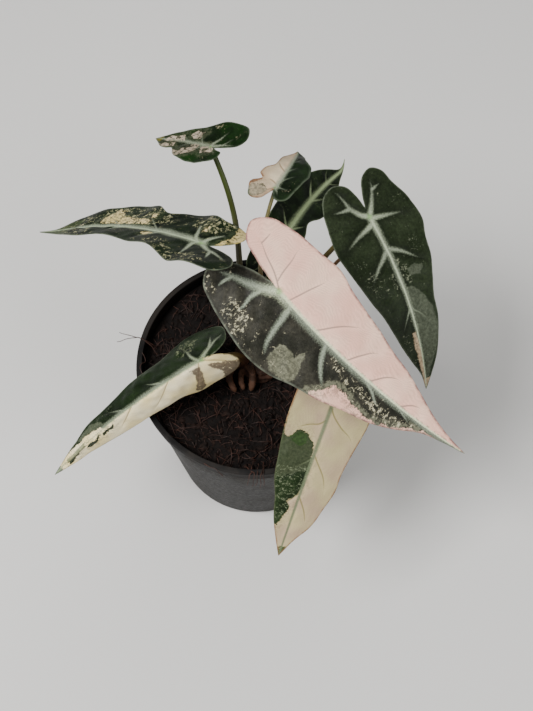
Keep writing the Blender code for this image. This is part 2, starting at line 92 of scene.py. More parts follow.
def closedRings(rings, firstPole, lastPole):
    # rings is (shapes, rows, sides, 3): each shape is its rings, skinned, with a pole point at each end.
    shapes, rows, sides = rings.shape[:3]
    perShape = rows * sides + 2
    side = np.arange(sides)
    after = (side + 1) % sides
    first, last = rows * sides, rows * sides + 1
    startFan = np.stack([np.full(sides, first), after, side], -1)
    endFan = np.stack([np.full(sides, last), side + (rows - 1) * sides, after + (rows - 1) * sides], -1)
    triangles = np.concatenate([gridTriangles(rows, sides, closed=True), startFan, endFan])
    points = np.concatenate([rings.reshape(shapes, -1, 3), firstPole[:, None], lastPole[:, None]], 1)
    triangles = triangles[None] + (np.arange(shapes) * perShape)[:, None, None]
    return points.reshape(-1, 3), triangles.reshape(-1, 3)


def tubeRings(paths, radii, sides):
    # Circles of the given radii, square to the paths; paths is (shapes, rows, 3).
    ahead = unit(np.gradient(paths, axis=-2))
    chord = paths[:, -1:] - paths[:, :1]
    aside = unit(np.cross(chord, [0.31, 0.17, 0.93]))
    spoke = unit(aside - ahead * (aside * ahead).sum(-1, keepdims=True))
    other = np.cross(ahead, spoke)
    angle = np.arange(sides) * 2 * math.pi / sides
    ring = np.cos(angle)[:, None] * spoke[..., None, :] + np.sin(angle)[:, None] * other[..., None, :]
    return paths[..., None, :] + radii[..., None] * ring


def turnedRings(profile, steps):
    # The profile's (radius, height) points carried round the Z axis.
    angle = np.arange(steps) * 2 * math.pi / steps
    radius, height = profile[:, 0, None], profile[:, 1, None]
    return np.stack([radius * np.cos(angle), radius * np.sin(angle), height + 0 * angle], -1)[None]


def pointNormals(points, triangles):
    # Each point's normal is the sum of its triangles' normals.
    a, b, c = points[triangles[:, 0]], points[triangles[:, 1]], points[triangles[:, 2]]
    face = np.cross(b - a, c - a)
    total = np.zeros_like(points)
    for corner in range(3):
        np.add.at(total, triangles[:, corner], face)
    return unit(total)


def borderEdges(triangles, count):
    # Edges that only one triangle has, in that triangle's direction.
    edges = np.concatenate([triangles[:, [0, 1]], triangles[:, [1, 2]], triangles[:, [2, 0]]])
    code = edges.min(1) * count + edges.max(1)
    first, times = np.unique(code, return_index=True, return_counts=True)[1:]
    return edges[first[times == 1]]


def thinShell(top, triangles, thickness, edgeBulge=0.12):
    # A second sheet below the first by the thickness at each point, and a rounded rim between them.
    count = len(top)
    normals = pointNormals(top, triangles)
    bottom = top - normals * thickness[:, None]
    border = borderEdges(triangles, count)
    along = top[border[:, 1]] - top[border[:, 0]]
    outward = np.zeros_like(top)
    for end in range(2):
        np.add.at(outward, border[:, end], np.cross(along, normals[border[:, end]]))
    rim = np.unique(border)
    number = np.zeros(count, int)
    number[rim] = np.arange(len(rim)) + 2 * count
    middle = (top[rim] + bottom[rim]) / 2 + unit(outward[rim]) * edgeBulge
    a, b = border.T
    aMid, bMid = number[a], number[b]
    strips = [(b, a, aMid), (b, aMid, bMid), (bMid, aMid, a + count), (bMid, a + count, b + count)]
    strips = np.concatenate([np.stack(s, -1) for s in strips])
    shell = np.concatenate([triangles, triangles[:, ::-1] + count, strips])
    source = np.concatenate([np.arange(count), np.arange(count), rim])
    under = np.concatenate([np.zeros(count), np.ones(count), np.full(len(rim), 0.5)])
    return np.concatenate([top, bottom, middle]), shell, source, under


def makePiece(name, points, triangles, material, nodes=(), fields=None):
    # A mesh object at the origin from whole arrays, with point attributes for its material.
    mesh = bpy.data.meshes.new(name)
    mesh.vertices.add(len(points))
    mesh.vertices.foreach_set("co", (points * mm).astype(np.float32).ravel())
    mesh.loops.add(triangles.size)
    mesh.loops.foreach_set("vertex_index", triangles.astype(np.int32).ravel())
    mesh.polygons.add(len(triangles))
    mesh.polygons.foreach_set("loop_start", np.arange(0, triangles.size, 3, dtype=np.int32))
    for label, values in (fields or {}).items():
        kind, key = ("FLOAT_VECTOR", "vector") if values.ndim == 2 else ("FLOAT", "value")
        attribute = mesh.attributes.new(label, kind, "POINT")
        attribute.data.foreach_set(key, values.astype(np.float32).ravel())
    mesh.update(calc_edges=True)
    mesh.validate()
    mesh.shade_smooth()
    mesh.materials.append(material)
    piece = bpy.data.objects.new(name, mesh)
    scene.collection.objects.link(piece)
    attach(piece, "root")
    if nodes:
        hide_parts(*nodes)
    return piece


# ---- materials: node tools and the effects that several finishes share

def tone(red, green, blue):
    # A colour given as 0 to 255 on screen, as the linear colour that Blender wants.
    share = np.array([red, green, blue]) / 255.0
    linear = np.where(share <= 0.04045, share / 12.92, ((share + 0.055) / 1.055) ** 2.4)
    return (*linear.tolist(), 1.0)


def node(tree, kind, values=None, **settings):
    made = tree.nodes.new("ShaderNode" + kind)
    for key, value in settings.items():
        setattr(made, key, value)
    for key, value in (values or {}).items():
        if isinstance(value, bpy.types.NodeSocket):
            tree.links.new(value, made.inputs[key])
        else:
            made.inputs[key].default_value = value
    return made


def calc(tree, operation, *values):
    return node(tree, "Math", dict(enumerate(values)), operation=operation).outputs[0]


def blend(tree, share, first, second, kind="MIX"):
    values = {0: share, 6: first, 7: second}
    return node(tree, "Mix", values, data_type="RGBA", blend_type=kind).outputs[2]


def rise(tree, value, low, high, fromValue=0.0, toValue=1.0):
    values = {0: value, 1: low, 2: high, 3: fromValue, 4: toValue}
    return node(tree, "MapRange", values, interpolation_type="SMOOTHSTEP").outputs[0]


def scaled(tree, vector, x, y, z):
    return node(tree, "Mapping", {"Vector": vector, "Scale": (x, y, z)}).outputs[0]


def noise(tree, vector, scale, detail=2.0, roughness=0.5, distortion=0.0):
    values = {"Vector": vector, "Scale": scale, "Detail": detail, "Roughness": roughness,
              "Distortion": distortion}
    return node(tree, "TexNoise", values).outputs[0]


def cells(tree, vector, scale, feature="DISTANCE_TO_EDGE"):
    return node(tree, "TexVoronoi", {"Vector": vector, "Scale": scale}, feature=feature).outputs[0]


def attribute(tree, name):
    return node(tree, "Attribute", attribute_name=name).outputs["Vector"]


def parts(tree, vector):
    return node(tree, "SeparateXYZ", {0: vector}).outputs


def newGroup(name, inputs, outputs):
    tree = bpy.data.node_groups.new(name, "ShaderNodeTree")
    for label, value in inputs.items():
        kind = "NodeSocketFloat" if isinstance(value, (int, float)) else "NodeSocketColor"
        kind = "NodeSocketVector" if value is None else kind
        socket = tree.interface.new_socket(name=label, in_out="INPUT", socket_type=kind)
        if value is not None:
            socket.default_value = value
    for label, kind in outputs.items():
        tree.interface.new_socket(name=label, in_out="OUTPUT", socket_type="NodeSocket" + kind)
    return tree, tree.nodes.new("NodeGroupInput").outputs, tree.nodes.new("NodeGroupOutput").inputs


def useGroup(tree, group, values=None):
    made = node(tree, "Group", node_tree=group)
    for key, value in (values or {}).items():
        if isinstance(value, bpy.types.NodeSocket):
            tree.links.new(value, made.inputs[key])
        else:
            made.inputs[key].default_value = value
    return made.outputs


def newMaterial(name, roughness=0.5, **constants):
    material = bpy.data.materials.new(name)
    material.use_nodes = True
    shader = material.node_tree.nodes["Principled BSDF"]
    shader.inputs["Roughness"].default_value = roughness
    for label, value in constants.items():
        shader.inputs[label.replace("_", " ")].default_value = value
    return material, material.node_tree, shader


def finishShader(tree, shader, colour, roughness, height, depth):
    tree.links.new(colour, shader.inputs["Base Color"])
    tree.links.new(roughness, shader.inputs["Roughness"])
    bump = node(tree, "Bump", {"Height": height, "Distance": depth * mm})
    tree.links.new(bump.outputs[0], shader.inputs["Normal"])


def raggedPatchGroup():
    # 1 inside a patch whose signed distance in mm is Field, with its border broken up by noise.
    tree, given, out = newGroup(
        "raggedPatch", {"Place": None, "Field": 0.0, "Ragged": 1.0, "Soft": 0.15, "Shift": 0.0},
        {"Mask": "Float"})
    moved = node(tree, "VectorMath", {0: given["Place"], 1: given["Shift"]}, operation="ADD").outputs[0]
    coarse = calc(tree, "SUBTRACT", noise(tree, moved, 0.28, 2.0, 0.5), 0.5)
    fine = calc(tree, "SUBTRACT", noise(tree, moved, 1.3, 2.0, 0.6, 0.6), 0.5)
    wander = calc(tree, "MULTIPLY_ADD", coarse, 3.2, calc(tree, "MULTIPLY", fine, 2.4))
    field = calc(tree, "MULTIPLY_ADD", wander, given["Ragged"], given["Field"])
    low = calc(tree, "MULTIPLY", given["Soft"], -1.0)
    tree.links.new(rise(tree, field, low, given["Soft"]), out["Mask"])
    return tree


def flecksGroup():
    # Splashes in uneven clusters; Density from 0 to 1 says how much of the surface they cover, and
    # Light is their bright middle.
    tree, given, out = newGroup("flecks", {"Place": None, "Density": 0.0, "Size": 1.0},
                                {"Mask": "Float", "Light": "Float"})
    stretched = scaled(tree, given["Place"], 0.7, 1.0, 1.0)
    fine = noise(tree, stretched, given["Size"], 4.0, 0.72, 0.9)
    broad = noise(tree, given["Place"], 0.3, 2.0)
    level = calc(tree, "MULTIPLY_ADD", broad, 0.42, calc(tree, "SUBTRACT", fine, 0.21))
    threshold = calc(tree, "MULTIPLY_ADD", given["Density"], -0.235, 0.735)
    over = calc(tree, "SUBTRACT", level, threshold)
    tree.links.new(rise(tree, over, 0.0, 0.03), out["Mask"])
    tree.links.new(rise(tree, over, 0.015, 0.09), out["Light"])
    return tree


def cellNetGroup():
    # The fine net of veinlets: lines between small cells, and the cells' low cushions.
    tree, given, out = newGroup("cellNet", {"Place": None, "Size": 1.0}, {"Lines": "Float", "Cushion": "Float"})
    bent = noise(tree, given["Place"], 0.9, 1.0)
    moved = node(tree, "VectorMath", {0: given["Place"], 1: bent}, operation="ADD").outputs[0]
    edge = cells(tree, moved, given["Size"])
    tree.links.new(rise(tree, edge, 0.0, 0.13, 1.0, 0.0), out["Lines"])
    tree.links.new(rise(tree, edge, 0.0, 0.4), out["Cushion"])
    return tree


def grainGroup():
    # Coarse and fine grain of a rough surface, for its height, a slow drift for its colour, and small specks: darker
    # grain on bark and earth, painted highlights on the coir.
    tree, given, out = newGroup("grain", {"Place": None, "Size": 1.0},
                                {"Height": "Float", "Drift": "Float", "SpecksAndHighlights": "Float"})
    coarse = noise(tree, given["Place"], calc(tree, "MULTIPLY", given["Size"], 0.3), 3.0, 0.6)
    fine = noise(tree, given["Place"], calc(tree, "MULTIPLY", given["Size"], 2.2), 4.0, 0.65)
    tree.links.new(calc(tree, "MULTIPLY_ADD", fine, 0.45, calc(tree, "MULTIPLY", coarse, 0.8)), out["Height"])
    drift = noise(tree, given["Place"], calc(tree, "MULTIPLY", given["Size"], 0.09), 2.0, 0.5)
    tree.links.new(rise(tree, drift, 0.3, 0.7), out["Drift"])
    tree.links.new(rise(tree, fine, 0.56, 0.66), out["SpecksAndHighlights"])
    return tree


raggedPatch = raggedPatchGroup()
flecks = flecksGroup()
cellNet = cellNetGroup()
grain = grainGroup()


def bladeSkinGroup():
    # Everything that is painted on a blade, from its attributes: place is the flat spot in mm,
    # veins is (silver, midrib, distance to a vein's line), run is (ripple measure, distance to any vein,
    # distance to the rib), sectors is (pale, sage, stain) in mm inside the patch, marks is (fleck
    # density, distance to the margin, under side).
    colours = ("Green", "Green two", "Pale", "Pale two", "Sage", "Silver", "Rib", "Fleck", "Stain",
               "Line", "Edge", "Under")
    inputs = {label: (0.5, 0.5, 0.5, 1.0) for label in colours}
    inputs.update({"Fringe": 0.6, "Ragged": 1.0, "Fleck size": 1.1, "Rib on pale": 0.6, "Stain strength": 0.9,
                   "Ripples": 0.0, "Holes": 0.5, "Heart": 2.2, "Edge width": 0.7})
    tree, given, out = newGroup("bladeSkin", inputs, {"Colour": "Color", "Roughness": "Float", "Height": "Float"})
    place = attribute(tree, "place")
    silver, rib, line = parts(tree, attribute(tree, "veins"))
    ripples, fromVein, fromRib = parts(tree, attribute(tree, "run"))
    pale, sage, stain = parts(tree, attribute(tree, "sectors"))
    fleck, margin, under = parts(tree, attribute(tree, "marks"))

    slow = rise(tree, noise(tree, place, 0.075, 2.0, 0.5), 0.35, 0.65)
    mottle = noise(tree, place, 0.7, 4.0, 0.65)
    feather = noise(tree, place, 1.5, 3.0, 0.7)
    speckle = noise(tree, place, 3.2, 2.0, 0.6)
    net = useGroup(tree, cellNet, {"Place": place, "Size": 1.15})
    unevenness = calc(tree, "SUBTRACT", feather, 0.5)

    def shaded(colour, share):
        grey = node(tree, "CombineXYZ", {0: share, 1: share, 2: share}).outputs[0]
        return blend(tree, 1.0, colour, grey, "MULTIPLY")

    def patch(field, shift, soft=0.15):
        return useGroup(tree, raggedPatch, {"Place": place, "Ragged": given["Ragged"], "Field": field,
                                            "Shift": shift, "Soft": soft})["Mask"]
    gaps = rise(tree, noise(tree, place, 0.55, 5.0, 0.7, 0.8), 0.5, 0.54)
    holes = calc(tree, "MULTIPLY", gaps, given["Holes"])
    border = calc(tree, "MULTIPLY", holes, rise(tree, pale, 1.0, 6.0, 1.0, 0.0))
    paleMask = calc(tree, "MULTIPLY", patch(pale, 0.0), calc(tree, "SUBTRACT", 1.0, border))
    fringe = calc(tree, "MULTIPLY", patch(calc(tree, "ADD", pale, 2.6), 7.3, 0.6),
                  calc(tree, "MULTIPLY_ADD", gaps, -0.85, 1.0))
    sageMask = calc(tree, "MULTIPLY", patch(sage, 3.1, 0.4), calc(tree, "SUBTRACT", 1.0, holes))
    broken = rise(tree, noise(tree, place, 0.42, 4.0, 0.62), 0.34, 0.4)
    stainMask = calc(tree, "MULTIPLY", patch(stain, 11.7, 0.4), broken)
    nearPale = calc(tree, "MULTIPLY", rise(tree, pale, -3.0, -0.4), calc(tree, "MULTIPLY", given["Fringe"], 0.7))
    splash = useGroup(tree, flecks, {"Place": place, "Density": calc(tree, "MAXIMUM", fleck, nearPale),
                                     "Size": given["Fleck size"]})

    green = blend(tree, slow, given["Green"], given["Green two"])
    shade = calc(tree, "MULTIPLY", rise(tree, mottle, 0.25, 0.75, 0.62, 1.38), rise(tree, speckle, 0.25, 0.75, 0.8, 1.2))
    beside = rise(tree, fromVein, 0.8, 5.5, 0.62, 1.08)
    green = shaded(green, calc(tree, "MULTIPLY", shade, beside))
    sageColour = shaded(given["Sage"], rise(tree, mottle, 0.3, 0.7, 1.2, 0.6))
    base = blend(tree, calc(tree, "MULTIPLY", sageMask, 0.88), green, sageColour)
    base = blend(tree, calc(tree, "MULTIPLY", fringe, given["Fringe"]), base, sageColour)

    drift = rise(tree, noise(tree, place, 0.055, 2.0, 0.5), 0.35, 0.65)
    paleColour = blend(tree, drift, given["Pale"], given["Pale two"])
    bent = calc(tree, "MULTIPLY_ADD", noise(tree, place, 0.22, 2.0), 3.0, ripples)
    waves = calc(tree, "MULTIPLY", calc(tree, "SINE", calc(tree, "MULTIPLY", bent, 5.3)),
                 rise(tree, noise(tree, place, 0.16, 1.0), 0.35, 0.6, 0.25, 1.0))
    waves = calc(tree, "MULTIPLY", waves, given["Ripples"])
    paleShade = calc(tree, "MULTIPLY_ADD", net["Lines"], -0.06, rise(tree, speckle, 0.25, 0.75, 0.93, 1.07))
    # Painted highlight: the pale colour is made lighter along the rib and the veins, and a little darker away from
    # them.
    paintedRibHighlight = calc(tree, "MULTIPLY", rise(tree, fromRib, 1.0, 9.0, 1.08, 0.96), rise(tree, fromVein, 0.4, 3.0, 1.03, 0.98))
    paleColour = shaded(paleColour, calc(tree, "MULTIPLY", calc(tree, "SUBTRACT", paleShade, waves), paintedRibHighlight))
    base = blend(tree, paleMask, base, paleColour)
    offPale = calc(tree, "MULTIPLY_ADD", paleMask, -0.95, 1.0)
    splashColour = blend(tree, splash["Light"], blend(tree, 0.3, given["Sage"], given["Fleck"]), given["Fleck"])
    base = blend(tree, calc(tree, "MULTIPLY", splash["Mask"], offPale), base, splashColour)

    apart = node(tree, "VectorMath", {0: place}, operation="LENGTH").outputs["Value"]
    vein = calc(tree, "MULTIPLY_ADD", unevenness, 1.1, silver)
    veinMask = calc(tree, "MULTIPLY", rise(tree, vein, 0.1, 1.0), offPale)
    frost = calc(tree, "MULTIPLY", rise(tree, feather, 0.3, 0.7, 0.72, 1.28), rise(tree, line, 0.0, 1.4, 1.18, 0.92))
    tinted = blend(tree, rise(tree, apart, 1.5, 13.0, 0.5, 0.0), given["Silver"], given["Rib"])
    veinColour = shaded(tinted, calc(tree, "MULTIPLY", frost, rise(tree, speckle, 0.3, 0.7, 0.86, 1.14)))
    base = blend(tree, calc(tree, "MULTIPLY", veinMask, 0.92), base, veinColour)
    thin = calc(tree, "MULTIPLY", rise(tree, line, 0.12, 0.6, 1.0, 0.0), calc(tree, "MULTIPLY_ADD", paleMask, 0.55, 0.2))
    base = blend(tree, thin, base, blend(tree, paleMask, given["Silver"], given["Line"]))
    base = blend(tree, calc(tree, "MULTIPLY", stainMask, given["Stain strength"]), base,
                 shaded(given["Stain"], rise(tree, mottle, 0.3, 0.7, 0.62, 1.38)))
    ribShare = rise(tree, calc(tree, "MULTIPLY_ADD", unevenness, 0.5, rib), 0.1, 0.95)
    onPale = calc(tree, "MULTIPLY_ADD", paleMask, calc(tree, "SUBTRACT", given["Rib on pale"], 0.9), 0.9)
    base = blend(tree, calc(tree, "MULTIPLY", ribShare, onPale), base,
                 shaded(given["Rib"], rise(tree, feather, 0.3, 0.7, 0.8, 1.2)))

    apart = calc(tree, "DIVIDE", calc(tree, "MULTIPLY_ADD", unevenness, 1.6, apart), given["Heart"])
    base = blend(tree, rise(tree, apart, 0.1, 1.0, 0.6, 0.0), base, tone(104, 150, 66))
    edge = calc(tree, "DIVIDE", calc(tree, "MULTIPLY_ADD", unevenness, 1.2, margin), given["Edge width"])
    burnt = rise(tree, noise(tree, place, 0.3, 2.0), 0.36, 0.58, 0.3, 0.9)
    edge = calc(tree, "MULTIPLY", rise(tree, edge, 0.1, 1.0, 1.0, 0.0), burnt)
    edgeColour = blend(tree, paleMask, blend(tree, 0.45, given["Green two"], given["Silver"]), given["Edge"])
    base = blend(tree, edge, base, edgeColour)
    base = blend(tree, calc(tree, "MULTIPLY", under, 0.6), base, given["Under"])
    tree.links.new(base, out["Colour"])

    rough = calc(tree, "MULTIPLY_ADD", mottle, 0.2, calc(tree, "MULTIPLY_ADD", paleMask, 0.08, 0.34))
    tree.links.new(calc(tree, "MULTIPLY_ADD", under, 0.15, rough), out["Roughness"])
    height = calc(tree, "MULTIPLY_ADD", net["Cushion"], 0.35, calc(tree, "MULTIPLY", mottle, 0.5))
    height = calc(tree, "MULTIPLY_ADD", waves, calc(tree, "MULTIPLY", paleMask, -1.5), height)
    height = calc(tree, "MULTIPLY_ADD", veinMask, 0.3, height)
    tree.links.new(calc(tree, "MULTIPLY_ADD", speckle, 0.2, height), out["Height"])
    return tree


bladeSkin = bladeSkinGroup()
print("node groups built")


# ---- blades: every leaf has the measures of its CAD solid, then its veins, patches and colours.
# Flat spots are (across, along) from the stalk: right of the rib is positive, behind it is negative.
# A vein is its points, then its half width at the rib and at its end.

blade = dict(spacing=0.46, thickness=0.55, marginThickness=0.34, ribBelow=0.95, ribSpread=1.4,
             veinSink=0.16, cushion=0.22, unevenness=0.22, ridgeRound=0.45)

leafStations = (0.0, 0.1, 0.2, 0.3, 0.4, 0.5, 0.6, 0.7, 0.8, 0.9)
lobeRoundness = 0.36
hookStart = 0.86
foldOpens = 0.8

